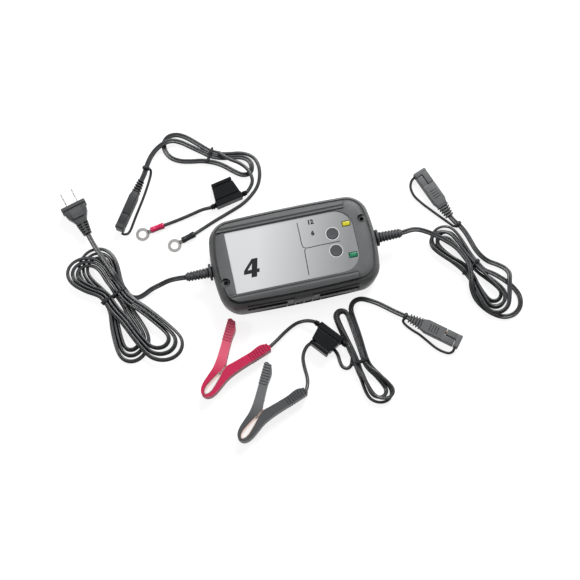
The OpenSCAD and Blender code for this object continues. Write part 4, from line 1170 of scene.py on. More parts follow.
@dataclass(frozen=True)
class Case:
    """The two halves, what is printed and pressed on the front, and what stands inside."""

    label_top: float = 39.2
    buttons: tuple[tuple[str, float], ...] = (("voltage_button", 9.5), ("type_button", -9.5))
    button_x: float = 43.5
    window_x: float = 60.0

    def build(self) -> None:
        """Dresses the solids of the case and adds its finer pieces."""
        rounded, fine = Edge(0.35, 2, 32.0), Edge(0.15, 2, 40.0)
        board = Laminate("circuit_board")
        sleeve = Moulding("capacitor_sleeve", (44, 48, 84), roughness=0.3)
        for name, finish, slot, edge in (
            ("case_top", CASE_PLASTIC, "case_plastic", rounded),
            ("case_bottom", CASE_PLASTIC, "case_plastic", rounded),
            ("label_panel", LABEL_PRINT_AND_REFLECTION, "label_print", fine),
            ("main_board", board, "circuit_board", fine),
            ("control_board", board, "circuit_board", fine),
            ("transformer", Moulding("ferrite", (206, 190, 120), grain=0.6), "ferrite", fine),
            ("heatsink", ALUMINIUM, "heatsink_metal", fine),
            ("capacitors", sleeve, "capacitor_sleeve", rounded),
            ("tact_switches", Moulding("switch_plastic", (34, 35, 37)), "switch_plastic", fine),
            ("indicator_leds", Moulding("lamp_resin", (226, 224, 214), roughness=0.2), "lamp_resin", fine),
            ("case_screws", SCREW, "screw_steel", fine),
        ):
            dress(name, finish, edge)
        for name, y in self.buttons:
            self.button(name, y)
        self.windows()
        self.print_label()

    def button(self, name: str, y: float) -> None:
        """A round button with a slightly dished face, and the pale ring printed round it.

        Args:
            name: Name of its solid.
            y: Where it stands across the case.
        """
        profile = ((1.8, 34.7), (1.8, 36.6), (5.8, 36.7), (6.2, 37.1), (6.2, 39.3), (6.1, 39.55),
                   (5.85, 39.7), (5.4, 39.72), (4.4, 39.6), (2.6, 39.52), (0.2, 39.5))
        place = Place((self.button_x, y, 0.0), 0.0)
        make(f"{name}_cap", place.put(turned_round(profile, 64)), INNER_PLASTIC, body=f"{name}_body",
             slot="button_plastic", replaces=(name,), sharp=30.0)
        low, high = self.label_top - 0.05, self.label_top + 0.03
        ring = turned_round(((6.62, low), (6.62, high), (7.25, high), (7.25, low)), 64, joined=True)
        make(f"{name}_ring", place.put(ring), LABEL_WHITE)

    def windows(self) -> None:
        """The two domed windows, each in a darker printed border."""
        stations = ((34.6, 4.8, 3.3, 0.5), (35.6, 4.8, 3.3, 0.5), (35.65, 3.8, 2.3, 0.5),
                    (39.1, 3.8, 2.3, 0.5), (39.35, 3.7, 2.2, 0.6), (39.5, 3.4, 1.9, 0.6),
                    (39.58, 2.6, 1.2, 0.6), (39.6, 1.0, 0.5, 0.3))
        z = self.label_top
        border = drawn([(level, 4.75, 3.2, 0.9) for level in (z - 0.05, z + 0.04)], upright=True)
        hole = drawn([(level, 3.9, 2.4, 0.6) for level in (z - 1.0, z + 1.0)], upright=True)
        for name, y, lens, rim in (("amber_window", 17.5, AMBER_LENS, AMBER_RIM),
                                   ("green_window", -17.5, GREEN_LENS, GREEN_RIM)):
            place = Place((self.window_x, y, 0.0), 0.0)
            make(f"{name}_lens", place.put(drawn(stations, upright=True)), lens, slot=lens.name,
                 replaces=(name,), sharp=50.0)
            make(f"{name}_border", place.put(border), rim, cut=(place.put(hole),))

    def print_label(self) -> None:
        """Thin dividing lines and the plain numbers of the voltages and the current."""
        z = self.label_top + 0.01
        lines = ((9.3, 28.9), (9.35, 14.0), (9.4, 4.5), (10.3, 1.2), (13.2, -0.1), (24.0, -0.1), (49.6, -0.1))
        branch = ((12.6, -1.1), (11.2, -2.0), (10.7, -4.5), (10.2, -16.0), (9.7, -29.5))
        strip = np.array([(-0.42, -0.02), (0.42, -0.02), (0.42, 0.02), (-0.42, 0.02)])
        skins = [loft(sweep(spline([(x, y, z) for x, y in line], 0.8), strip)) for line in (lines, branch)]
        make("label_lines", skins[0] + skins[1], LABEL_INK)
        for digits, y in (("12", 26.8), ("6", 14.3)):
            numeral(f"voltage_number_{digits}", digits, (23.2, y, z), 6.6)
        self.large_four(z)

    def large_four(self, z: float) -> None:
        """The slanted figure four of the charging current, printed large.

        Args:
            z: Height of the label's face.
        """
        figure = ((0.36, 0.0), (0.62, 0.0), (0.62, 0.22), (0.73, 0.22), (0.73, 0.42), (0.62, 0.42),
                  (0.62, 1.0), (0.34, 1.0), (0.0, 0.43), (0.0, 0.22), (0.36, 0.22))
        eye = ((0.36, 0.42), (0.36, 0.74), (0.17, 0.42))
        slant, wide, high, middle = 0.2, 23.0, 20.0, (-47.4, -9.6)

        def on_label(shape: Sequence[Sequence[float]]) -> Array:
            """A shape of shares of the figure's width and height, slanted and put on the label."""
            x, y = np.asarray(shape).T
            across = (x - 0.37 + (y - 0.5) * slant) * wide
            return np.column_stack([across + middle[0], (y - 0.5) * high + middle[1]])

        make("current_number_4", prism(on_label(figure), z - 0.02, z + 0.02), LABEL_INK,
             cut=(prism(on_label(eye), z - 1.0, z + 1.0),))


def numeral(name: str, text: str, spot: Point, size: float) -> None:
    """A plain printed number as a thin flat mesh.

    Args:
        name: Name of the piece.
        text: The digits.
        spot: Middle of the number, in millimetres.
        size: Height of the letter body.
    """
    curve = bpy.data.curves.new(name, "FONT")
    curve.body, curve.align_x, curve.align_y = text, "CENTER", "CENTER"
    curve.size, curve.offset, curve.extrude = size * MM, size * MM * 0.012, 0.02 * MM
    curve.bevel_depth = size * MM * 0.04
    text_object = add_object(f"{name}_text", curve)
    mesh = bpy.data.meshes.new_from_object(text_object.evaluated_get(bpy.context.evaluated_depsgraph_get()))
    bpy.data.objects.remove(text_object)
    mesh.transform(Matrix.Translation(Vector(spot) * MM))
    mesh.materials.clear()
    mesh.materials.append(material_of(LABEL_INK))
    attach(add_object(name, mesh), ROOT)


@dataclass(frozen=True)
class Boot:
    """Ribbed strain relief on an end of the case, with its flange against the wall."""

    name: str
    solid: str
    way: float
    crossed: bool
    wall: float = 89.0
    height: float = 21.0
    ribs: int = 7
    ribbed_length: float = 23.4

    def build(self) -> None:
        """Makes the boot as a turned profile whose ribs are broken up where they are crossed."""
        profile = [(6.0, -5.0), (6.0, 0.5), (8.6, 0.55), (9.0, 0.95), (9.0, 2.8), (8.6, 3.2), (6.2, 3.3),
                   (5.2, 4.2)]
        pitch = self.ribbed_length / self.ribs
        for i in range(self.ribs):
            core, rib, start = 4.8 - i * 0.1, 5.75 - i * 0.12, 4.5 + i * pitch
            profile += [(core, start), (rib - 0.25, start + 0.12), (rib, start + 0.45),
                        (rib, start + pitch * 0.5), (rib - 0.25, start + pitch * 0.58),
                        (core, start + pitch * 0.63)]
        profile += [(3.9, 28.3), (3.6, 28.6)]
        skin = turned_round(profile, 72, upright=False)
        if self.crossed:
            skin = skin.moved(lambda p: self.cross(p, pitch))
        turn = Place((self.way * self.wall, 0.0, self.height), 0.0 if self.way > 0 else 180.0)
        make(self.name, turn.put(skin), RUBBER, slot="relief_rubber", replaces=(self.solid,), sharp=32.0)

    def cross(self, points: Array, pitch: float) -> Array:
        """Points drawn in towards the core where a rib has its gap.

        Formula: each rib has two gaps, and those of the next rib stand a quarter turn on.

        Args:
            points: Points of the turned profile, along X.
            pitch: Distance from rib to rib.

        Returns:
            The changed points.
        """
        rib = np.floor((points[:, 0] - 4.4) / pitch)
        radius = np.hypot(points[:, 1], points[:, 2])
        angle = np.arctan2(points[:, 2], points[:, 1])
        gap = np.cos(2.0 * angle + rib * math.pi) > 0.72
        inside = (rib >= 0) & (rib < self.ribs) & gap
        scale = np.where(inside, np.minimum(1.0, (4.75 - rib * 0.1) / np.maximum(radius, 0.1)), 1.0)
        return points * np.column_stack([np.ones(len(points)), scale, scale])


# ---------------------------------------------------------------- plug and connectors


@dataclass(frozen=True)
class Plug:
    """Two-blade mains plug: ribbed tail, body that widens, and a square face plate."""

    place: Place
    blade_apart: float = 12.7

    def build(self) -> list[bpy.types.Object]:
        """Makes the moulded body and the two blades.

        Returns:
            The moulding and the two blades.
        """
        tail = drawn([*ribbed(0.0, 15.0, 5, (4.8, 4.0), (6.6, 5.2), 1.7, corner=1.4), (15.0, 5.4, 4.2, 1.4)])
        spine = drawn(eased_ends(((0.6, 1.5, 3.7, 0.6), (15.6, 1.7, 4.9, 0.6)), 0.4))
        body = drawn(eased_ends((
            (13.6, 6.4, 5.1, 1.6), (16.5, 6.8, 5.3, 1.8), (20.0, 8.6, 5.9, 2.2), (24.5, 11.2, 6.6, 2.4),
            (28.0, 12.2, 7.0, 2.4), (32.6, 12.8, 7.3, 2.4)), 0.5))
        plate = drawn(eased_ends(((31.8, 14.0, 8.5, 2.0), (36.0, 14.0, 8.5, 2.0)), 0.7))
        pad = drawn(((6.2, 6.8, 3.6, 1.2), (7.2, 6.5, 3.3, 1.2)), upright=True)
        pad = pad.moved(lambda p: p * np.array([0.9, 1.9, 1.0]) + np.array([25.4, 0.0, 0.0]))
        moulded = make("plug_moulding", self.place.put(tail + spine + body + plate + pad), PLUG_PLASTIC,
                       slot="plug_plastic", replaces=("plug_body",), sharp=34.0)
        return [moulded, *(self.blade(side) for side in (-1, 1))]

    def blade(self, side: int) -> bpy.types.Object:
        """One blade with a rounded tip and its hole.

        Args:
            side: Side of the plug, +1 or -1.

        Returns:
            The blade.
        """
        outline = np.array([(33.0, -3.2), (52.2, -3.2), (53.2, -2.4), (53.5, -1.2), (53.5, 1.2), (53.2, 2.4),
                            (52.2, 3.2), (33.0, 3.2)])
        hole = turned_round(((1.6, -2.0), (1.6, 2.0)), 28).shifted(x=50.0)

        def stood_up(skin: Skin) -> Skin:
            """A flat skin stood on its edge, at this blade's side."""
            return self.place.put(skin.moved(
                lambda p: np.column_stack([p[:, 0], side * self.blade_apart / 2 - p[:, 2], p[:, 1]])))

        name = "left_plug_blade" if side > 0 else "right_plug_blade"
        return make(name, stood_up(prism(outline, -0.75, 0.75)), NICKEL, slot="nickel_blade",
                    replaces=("plug_blades",), edge=Edge(0.2, 2), cut=(stood_up(hole),))


@dataclass(frozen=True)
class Connector:
    """Two-pin connector with its own cap: halves of unequal length that meet in a step.

    Side +1 has its bare pin towards +Y of its own frame, and -1 has it towards -Y.
    """

    name: str
    place: Place
    side: int
    finish: Moulding = CONNECTOR_RUBBER

    def hand(self, skin: Skin) -> Skin:
        """The skin for this side, in place."""
        return self.place.put(skin if self.side > 0 else skin.mirrored())

    def bar(self, start: float, end: float, half_width: float, half_height: float, corner: float,
            radius: float) -> Skin:
        """A straight bar along X whose ends are eased by a radius."""
        return drawn(eased_ends([(x, half_width, half_height, corner) for x in (start, end)], radius))

    def build(self) -> tuple[bpy.types.Object, bpy.types.Object]:
        """Makes the moulded body, the grip lines and the cap.

        Returns:
            The body and the cap.
        """
        tail = drawn([*ribbed(0.0, 15.6, 5, (4.7, 3.3), (6.2, 4.0), 1.5, corner=1.4), (15.6, 5.2, 3.2, 1.2)])
        core = drawn(((0.2, 2.9, 1.7, 0.8), (15.6, 4.0, 2.3, 0.8)))
        main = drawn(eased_ends(((14.6, 5.9, 3.6, 1.0), (16.6, 6.1, 3.8, 1.1), (20.4, 7.3, 4.5, 1.2),
                                 (41.7, 7.3, 4.5, 1.2)), 0.35))
        half = self.bar(40.0, 53.9, 3.57, 4.46, 1.0, 0.4).shifted(y=-3.7)
        # Painted shade: thin near-black slabs on both faces stand in for shaded grip grooves.
        lines = [block((x, -4.2, face * 4.5 - 0.05), (x + 0.7, 4.2, face * 4.5 + 0.05))
                 for x in (24.0, 26.9, 29.8, 32.7) for face in (-1, 1)]
        make(f"{self.name}_grip_lines", self.hand(sum(lines[1:], lines[0])), GROOVE_PAINTED_SHADE, slot="connector_rubber")
        worn = {"finish": self.finish, "slot": "connector_rubber", "sharp": 36.0}
        body = make(f"{self.name}_connector_moulding", self.hand(tail + core + main + half),
                    replaces=(f"{self.name}_connector",), **worn)
        long_half = self.bar(42.3, 56.0, 3.47, 4.46, 1.0, 0.4).shifted(y=3.8)
        head, lip = self.bar(54.3, 60.0, 7.3, 4.5, 1.2, 0.7), self.bar(57.0, 58.6, 7.55, 4.72, 1.2, 0.3)
        cap = make(f"{self.name}_cap_moulding", self.hand(long_half + head + lip),
                   body=f"{self.name}_cap_body", replaces=(f"{self.name}_cap",), **worn)
        return body, cap


@dataclass(frozen=True)
class Tether:
    """Soft strap from a cap to a collar round its lead."""

    name: str
    route: tuple[Point, ...]
    collar: Place
    collar_radius: float = 3.4
    collar_thickness: float = 0.95
    collar_half_width: float = 1.7

    def build(self) -> None:
        """Makes the strap and its collar in one piece, which rides on no body."""
        strap = loft(sweep(spline(self.route, 1.0), Section.STRAP.outline()))
        ring = [(self.collar_radius + self.collar_thickness * math.cos(a), self.collar_half_width * math.sin(a))
                for a in np.linspace(0.0, TURN, 12, False)]
        collar = self.collar.put(turned_round(ring, 44, upright=False, joined=True))
        piece = make(f"{self.name}_cap_strap", strap + collar, STRAP_RUBBER, body=None,
                     slot="connector_rubber", replaces=(f"{self.name}_tether",), sharp=60.0)
        ends = sorted((self.route[0], self.route[-1]), key=lambda p: math.dist(p, self.collar.spot))
        blend_between(piece, f"{self.name}_cap_body", *ends)


# ---------------------------------------------------------------- fuse holders, rings and ties


@dataclass(frozen=True)
class FuseHolder:
    """In-line holder: a box that the wire runs through, and a cap that narrows away from it."""

    name: str
    place: Place
    reach: float = 21.0
    bore_y: float = -3.3
    bore_z: float = 6.5

    def port(self, side: int) -> Point:
        """Where a wire enters, on the side of +X or -X."""
        return self.place.point(side * self.reach, self.bore_y, self.bore_z)

    def build(self) -> bpy.types.Object:
        """Makes the box with its necks, and the cap over the fuse.

        Returns:
            The box.
        """
        worn = {"finish": FUSE_PLASTIC, "slot": "fuse_plastic"}
        box = block((-15.0, -7.0, 0.0), (15.0, 0.0, 13.0))
        cavity = block((-10.0, -4.0, 4.1), (10.0, 1.0, 8.9))
        body = make(f"{self.name}_fuse_box", self.place.put(box), replaces=(f"{self.name}_fuse_body",),
                    edge=Edge(0.9, 3), cut=(self.place.put(cavity),), **worn)
        profile = ((3.3, 14.2), (3.3, 15.6), (2.5, 16.0), (2.5, 17.0), (3.0, 17.3), (3.1, 18.6), (2.6, 19.0),
                   (2.4, 19.4), (2.7, 19.7), (2.7, 20.7), (2.3, self.reach))
        neck = turned_round(profile, 36, upright=False).shifted(y=self.bore_y, z=self.bore_z)
        back = neck.moved(lambda p: p * np.array([-1.0, -1.0, 1.0])).shifted(y=2.0 * self.bore_y)
        make(f"{self.name}_fuse_necks", self.place.put(neck + back), **worn)
        lid = prism(np.array([(-14.4, 0.3), (14.4, 0.3), (11.9, 14.2), (-11.9, 14.2)]), 0.0, 13.0)
        lid = lid + block((-10.9, 13.4, 0.9), (10.9, 16.4, 12.1))
        lid = lid + block((-11.6, 15.3, 0.0), (11.6, 19.0, 13.0)) + block((-9.2, 2.6, 12.2), (9.2, 12.2, 13.35))
        room = block((-10.5, -1.0, 3.5), (10.5, 13.0, 9.5))
        make(f"{self.name}_fuse_lid", self.place.put(lid), body=f"{self.name}_fuse_cap_body",
             replaces=(f"{self.name}_fuse_cap",), edge=Edge(0.7, 3), cut=(self.place.put(room),), **worn)
        return body


@dataclass(frozen=True)
class RingTerminal:
    """Ring terminal crimped on a wire, with its insulating sleeve."""

    name: str
    place: Place
    sleeve: Moulding
    sleeve_height: float = 3.1

    def build(self) -> tuple[bpy.types.Object, bpy.types.Object]:
        """Makes the stamped ring with its tongue, and the sleeve over the crimp.

        Returns:
            The ring and the sleeve.
        """
        section = ((4.2, 0.2), (4.4, 0.0), (7.1, 0.0), (7.3, 0.2), (7.3, 0.8), (7.1, 1.0), (4.4, 1.0),
                   (4.2, 0.8))
        plate = turned_round(section, 64, joined=True)
        tongue = drawn(eased_ends(((6.0, 2.6, 0.5, 0.2), (8.2, 2.2, 0.5, 0.2), (12.5, 2.1, 0.5, 0.2)), 0.1))
        ring = make(f"{self.name}_ring_terminal", self.place.put(plate + tongue.shifted(z=0.5)), TIN,
                    slot="tinned_copper", replaces=("ring_terminals",), sharp=30.0)
        tube = turned_round(((2.1, 9.6), (3.1, 9.6), (3.4, 9.9), (3.44, 13.0), (3.26, 13.4), (3.22, 19.6),
                             (3.4, 20.2), (3.5, 24.4), (3.2, 24.9), (2.1, 25.0)), 44, upright=False)
        skin = self.place.put(tube.shifted(z=self.sleeve_height))
        cover = make(f"{self.name}_ring_sleeve", skin, self.sleeve,
                     slot="red_plastic" if self.name == "red" else "black_sleeve_plastic",
                     replaces=(f"{self.name}_sleeve",), sharp=36.0)
        return ring, cover


@dataclass(frozen=True)
class Tie:
    """Strap pulled tight round a bundle, with its small locking head and cut end."""

    name: str
    place: Place
    across: float
    height: float
    width: float = 2.6
    thick: float = 0.4
    head: float = 0.55

    def build(self) -> None:
        """Makes the strap as a rounded loop, with the head on top."""
        sizes = (np.array([v]) for v in (self.across, self.height / 2, self.height * 0.42))
        loop = box_section(*sizes, 72)[0]
        way = np.roll(loop, -1, axis=0) - np.roll(loop, 1, axis=0)
        normal = unit(np.stack([way[:, 1], -way[:, 0]], axis=1))
        half, thick = self.width / 2, self.thick
        profile = ((-half, 0.0), (-half * 0.8, thick), (half * 0.8, thick), (half, 0.0),
                   (half * 0.8, -thick), (-half * 0.8, -thick))
        lines = [np.column_stack([np.full(len(loop), x), loop + normal * (d - thick)]) for x, d in profile]
        rings = np.stack(lines, axis=1)
        strap = loft(rings, joined=True).shifted(z=0.25 + self.height / 2)
        y, top = self.across * self.head, self.height + 0.1
        head = drawn(eased_ends(((y - 2.4, 1.9, 1.0, 0.5), (y + 2.4, 1.9, 1.0, 0.5)), 0.4))
        tail = drawn(eased_ends(((y + 2.0, 1.1, 0.35, 0.2), (y + 5.2, 1.1, 0.35, 0.2)), 0.2))
        lock = (head + tail).moved(lambda p: np.column_stack([-p[:, 1], p[:, 0], p[:, 2] + top]))
        make(f"{self.name}_tie", self.place.put(strap + lock), TIE_PLASTIC, slot="tie_plastic",
             replaces=("cable_ties",), sharp=34.0)


# ---------------------------------------------------------------- clamps


@dataclass(frozen=True)
class Clamp:
    """Spring clamp on its side: two grips, two plated jaw liners, a pin and a coil spring."""

    name: str
    place: Place
    finish: Moulding
    moving_finish: Moulding
    slot: str
    height: float = 15.0
    jaw: float = 37.0

    def jaw_line(self, grow: float) -> Array:
        """Edge of the opening between the jaws, moved out by a thickness, from tip to hinge.

        Args:
            grow: The thickness.

        Returns:
            Seven (x, y) pairs.
        """
        j, g = self.jaw, grow
        return np.array([(-j + 3.3 - g, 0.3), (-j + 4.3 - 0.9 * g, 1.5 + 0.5 * g),
                         (-j + 6.6 - 0.5 * g, 2.6 + 0.85 * g), (-j + 10.5, 3.1 + g), (-j * 0.55, 2.7 + g),
                         (-13.0, 1.8 + g), (-8.0, 1.0 + g)])

    def hand(self, skin: Skin, fixed: bool) -> Skin:
        """The moving half's skin, or its mirror image for the fixed half, in place."""
        return self.place.put(skin.mirrored() if fixed else skin)

    def build(self) -> list[bpy.types.Object]:
        """Makes both halves, the pin and the spring.

        Returns:
            The two grips.
        """
        pieces = []
        for fixed in (True, False):
            half, body = ("fixed", ROOT) if fixed else ("moving", f"{self.name}_clamp_arm")
            pieces.append(self.grip(half, fixed, body))
            self.liner(half, fixed, body)
        self.spring()
        return pieces

    def grip(self, half: str, fixed: bool, body: str) -> bpy.types.Object:
        """One grip with rounded edges, room for the hinge, and raised ribs by its end.

        Args:
            half: Name of the half.
            fixed: Whether it is the fixed one.
            body: Body that it rides on.

        Returns:
            The grip.
        """
        outer = spline([(-37.0, 0.3), (-36.1, 3.4), (-32.5, 6.6), (-26.0, 8.6), (-17.0, 9.2), (-8.0, 9.7),
                        (2.0, 12.0), (16.45, 17.1), (30.0, 22.5), (42.0, 27.0)], 1.5)
        tip = spline([(42.0, 27.0), (45.0, 27.7), (46.8, 25.8), (46.4, 22.4), (45.5, 20.0), (41.0, 15.9),
                      (29.1, 12.2), (17.9, 7.6), (9.0, 3.7)], 1.5)[1:]
        inner = np.vstack([[(5.0, 1.7), (2.0, 0.9), (-6.5, 0.9)], self.jaw_line(1.15)[::-1]])
        outline = np.vstack([outer, tip, inner])
        worn = {"finish": self.finish if fixed else self.moving_finish, "body": body, "slot": self.slot}
        rooms = (prism(circle(4.2, 36), 1.5, 13.5), block((0.0, -1.0, 5.9), (15.0, 6.8, 9.1)))
        piece = make(f"{self.name}_{half}_handle", self.hand(prism(outline, 0.0, self.height), fixed),
                     replaces=(f"{self.name}_{half}_grip",), edge=Edge(1.1, 3, 40.0),
                     cut=[self.hand(room, fixed) for room in rooms], **worn)
        make(f"{self.name}_{half}_handle_ribs", self.hand(self.ribs(), fixed), edge=Edge(0.35, 2, 40.0),
             **worn)
        return piece

    def ribs(self) -> Skin:
        """Eight bars across the handle, square to its outer edge and a little proud of it.

        Returns:
            All bars in one skin.
        """
        along, across = np.array([0.936, 0.352]), np.array([0.352, -0.936])
        bars = []
        for i in range(8):
            start = np.array([44.0, 27.5]) - along * (1.0 + i * 3.0) - across * 0.6
            wide, deep = along * 1.35, across * (8.2 + min(i, 4) * 0.35)
            corners = np.array([start, start + wide, start + wide + deep, start + deep])
            bars.append(prism(corners, -0.12, self.height + 0.6))
        return sum(bars[1:], bars[0])

    def liner(self, half: str, fixed: bool, body: str) -> None:
        """Plated liner of one jaw, its lugs, and the pin on the fixed side.

        Args:
            half: Name of the half.
            fixed: Whether it is the fixed one.
            body: Body that it rides on.
        """
        edge_line, back_line = self.jaw_line(0.0), self.jaw_line(0.8)[::-1]
        skin = prism(np.vstack([edge_line, back_line]), 0.6, 14.6)
        bridge = prism(np.array([(-8.2, 0.95), (-6.5, 0.25), (-0.2, 0.25), (-0.2, 0.82), (-6.5, 0.85),
                                 (-8.2, 2.0)]), 13.6, 14.8)
        skin = skin + bridge
        for z in (1.8, 11.6) if fixed else (3.7, 9.7):
            lug = turned_round(((1.9, z), (3.6, z), (3.6, z + 1.6), (1.9, z + 1.6)), 44, joined=True)
            arm = prism(np.array([(-3.1, 1.7), (-9.5, 2.1), (-9.5, 1.6), (-3.4, 0.4)]), z, z + 1.6)
            skin = skin + lug + arm
        if fixed:
            pin = ((1.0, 1.6), (1.8, 1.8), (1.8, 13.2), (0.85, 13.3), (0.85, 14.6), (0.5, 14.9))
            skin = skin + turned_round(pin)
        make(f"{self.name}_{half}_liner", self.hand(skin, fixed), COPPER, body=body, slot="copper_plate",
             replaces=("fixed_jaws" if fixed else f"{self.name}_moving_jaw",), sharp=30.0)

    def spring(self) -> None:
        """Coil of two and a bit turns round the pin, with a leg into each handle."""
        middle, climb, radius, wire = 7.5, 0.62, 2.65, 0.45
        turn = np.radians(np.linspace(-78.0, 78.0 + 360.0, 90))
        rise = np.linspace(-climb, climb, 90) + middle
        coil = np.stack([radius * np.cos(turn), radius * np.sin(turn), rise], axis=1)
        legs = [np.array([(1.0 + out * 0.978, side * (2.6 + out * 0.208), middle + side * climb)
                          for out in (12.0, 8.0, 4.0, 1.0)]) for side in (-1, 1)]
        path = spline(np.vstack([legs[0], coil, legs[1][::-1]]), 0.5)
        piece = make(f"{self.name}_clamp_spring", self.place.put(loft(sweep(path, circle(wire, 12)))), SPRING,
                     body=None, slot="spring_steel", replaces=("clamp_springs",), sharp=60.0)
        ends = [self.place.point(0.0, y, middle) for y in (-2.4, 2.4)]
        blend_between(piece, f"{self.name}_clamp_arm", *ends)


# ---------------------------------------------------------------- places and routes


PLUG = Plug(Place((-212.0, 73.0, 9.0), 106.0))
OUTPUT_CONNECTOR = Connector("output", Place((175.5, 12.0, 4.5), 111.0), -1)
RING_CONNECTOR = Connector("ring", Place((-144.5, 120.5, 7.3), -124.0, True), 1, SHADED_CONNECTOR_RUBBER)
CLAMP_CONNECTOR = Connector("clamp", Place((106.5, -89.5, 4.5), -39.0), 1)
RING_FUSE = FuseHolder("ring", Place((-56.0, 82.5, 0.0), 12.0))
CLAMP_FUSE = FuseHolder("clamp", Place((18.0, -92.0, 4.0), 130.0))
RED_RING = RingTerminal("red", Place((-154.5, 62.5, 0.4), 10.0), RED_SLEEVE)
BLACK_RING = RingTerminal("black", Place((-123.0, 43.0, 0.4), 17.0), DARK_SLEEVE)
RED_CLAMP = Clamp("red", Place((-97.0, -103.0, 0.3), 42.0), RED_GRIP, RED_GRIP_PAINTED_SHEEN, "red_plastic")
BLACK_CLAMP = Clamp("black", Place((-69.0, -157.0, 0.3), 42.0), DARK_GRIP, BLACK_GRIP_PAINTED_SHEEN, "black_grip_plastic")

TIES = (
    Tie("mains", Place((-197.0, 0.0, 0.0), 113.0), 15.4, 10.3, head=0.7),
    Tie("output", Place((184.0, -49.0, 0.0), 118.0), 11.8, 10.0, head=-0.75),
    Tie("clamp", Place((45.0, -125.0, 0.0), 99.0), 9.6, 10.0, head=-0.5),
    Tie("ring", Place((-66.0, 134.5, 0.0), -32.0), 9.2, 5.4, head=0.5),
)

TETHERS = (
    Tether("output", ((147.9, 62.4, 4.5), (144.5, 60, 3.6), (141.8, 54, 2.4), (143, 44, 2), (149, 34, 2),
                      (157, 24, 2), (165, 14.5, 2), (172, 6.5, 2), (177, 0.5, 3.2), (179.8, -0.9, 4.7)),
           Place((182.0, 0.8, 4.9), 125.0)),
    Tether("ring", ((-176.4, 67.8, 4), (-174, 66, 3.4), (-170, 66.2, 2.6), (-166.5, 69.5, 2), (-163, 75, 2),
                    (-157.6, 84, 2), (-151.3, 94, 2), (-145, 104.3, 2), (-138, 117, 2), (-133, 127.5, 2.4),
                    (-132.2, 131.5, 4), (-133.8, 132.8, 6.2)),
           Place((-136.5, 134.0, 6.5), 63.0)),
    Tether("clamp", ((145.9, -131.6, 4.5), (143.6, -134.4, 3.4), (139.5, -135.2, 2.4), (134, -132.5, 2),
                     (127, -126.5, 2), (120, -117.5, 2), (113, -108.5, 2), (106.5, -102, 2), (101, -95, 2),
                     (99.5, -91, 2.6), (101.1, -89.1, 4)),
           Place((103.0, -86.8, 4.2), 142.0)),
)

MAINS_HANK = Hank((-197.0, 0.0), 113.0, -1, 0.0, 6.0, 3.0,
                  ((44, 9, -4, 5, 4.2), (46, 10, 14, 5, 4.2), (60, 9, -12, 6, 4.2), (72, 8, 10, 8, 4.2)))
OUTPUT_HANK = Hank((184.0, -49.0), 118.0, -1, 0.0, 3.8, 2.0,
                   ((44, 7, 0, 7, 4.2), (44, 7, 6, 7, 4.2), (44, 7, 0, 6, 4.2), (48, 7, -4, 6, 4.2)))
CLAMP_HANK = Hank((45.0, -125.0), 99.0, 1, 0.5, 3.0, 2.0,
                  ((56, 4.4, 0, 6, 3.8), (56, 4.4, 0, 6, 3.8), (42, 7, -10, 6, 4.4), (44, 7, -16, 6, 4.4)))

MAINS_LEAD = Lead("mains_lead", Section.TWIN, (
    ((-117.6, 0, 21), (-126, 1, 19.5), (-136, 2, 14.5), (-147, 1, 8), (-157, -0.8, 4), (-165, -4.2, 2.2),
     (-172.5, -6.2, 2.2), (-179, -3.9, 2.4), (-182.6, 0.6, 2.6)),
    MAINS_HANK,
    ((-189.5, 15, 9), (-191.5, 21, 10.7), (-195, 29, 10.7), (-201, 43, 10.7), (-207, 57, 9.6), (-212, 73, 9)),
), ("mains_cord_near", "mains_hank", "mains_cord_far"))

OUTPUT_LEAD = Lead("output_lead", Section.TWIN, (
    ((117.6, 0, 21), (133, 1, 20), (144, -3, 17.5), (154, -9, 15), (163, -16, 13.5), (172, -25, 12.5),
     (178, -36, 12.5), (182, -48, 12.5), (181, -60, 12), (179, -71, 9), (181, -83, 4), (188, -95, 2.2),
     (197, -104, 2), (207, -109, 2), (218, -108, 2), (226, -101, 2), (228, -90, 2), (223, -78, 2),
     (214, -67, 2), (205, -59, 2.2), (198, -54, 2.4)),
    OUTPUT_HANK,
    ((219, -80, 6.6), (221, -72, 6.4), (223, -64, 4.5), (220, -57, 2.5), (213, -51, 2),
     (205, -46, 2.4), (199, -40, 4), (194, -31, 5), (191, -21, 5), (188, -11, 5), (184, -2, 5),
     (179, 5, 4.8), (175.5, 12, 4.5)),
), ("output_cord_near", "output_hank", "output_cord_far"))

RING_LEAD = Lead("ring_lead", Section.TWIN, ((
    (-144.5, 120.5, 7.3), (-139.5, 128, 6.8), (-135, 137, 6.3), (-129, 146, 6.2), (-121, 153.5, 6.4),
    (-111, 158.5, 6.4), (-102, 159.5, 5), (-93, 156, 3), (-84, 149.5, 2), (-74, 141.5, 2.4), (-65, 134.5, 2.6),
    (-54, 130, 2.4), (-42, 128, 2), (-32, 126, 2), (-25, 121, 2), (-23, 113, 2), (-27, 106, 2),
    (-35, 106, 2), (-43, 111.5, 2), (-50.5, 118.2, 2.2), (-58.5, 124, 2.6), (-67, 128, 2.6), (-76, 131, 2.2),
    (-88, 133, 2), (-99, 136, 2), (-108, 142, 2), (-112.5, 151, 2), (-112, 160, 2), (-106, 166, 2),
    (-97, 166.5, 2), (-88, 162, 2), (-79, 154, 2.2), (-71, 146, 2.6), (-63, 139, 2.6), (-54, 134.8, 2.4)),
), ("ring_cord",))

CLAMP_LEAD = Lead("clamp_lead", Section.TWIN, (
    ((106.5, -89.5, 4.5), (100, -84.5, 4), (93, -79, 3), (86, -73, 2.4), (78, -66.5, 2), (69, -61, 2),
     (60, -57.5, 2), (52, -59.5, 2), (48, -66.5, 2), (48.5, -78, 2), (50, -91, 2), (51, -104, 2.2),
     (51.4, -112, 2.4)),
    CLAMP_HANK,
), ("clamp_cord", "clamp_hank"))


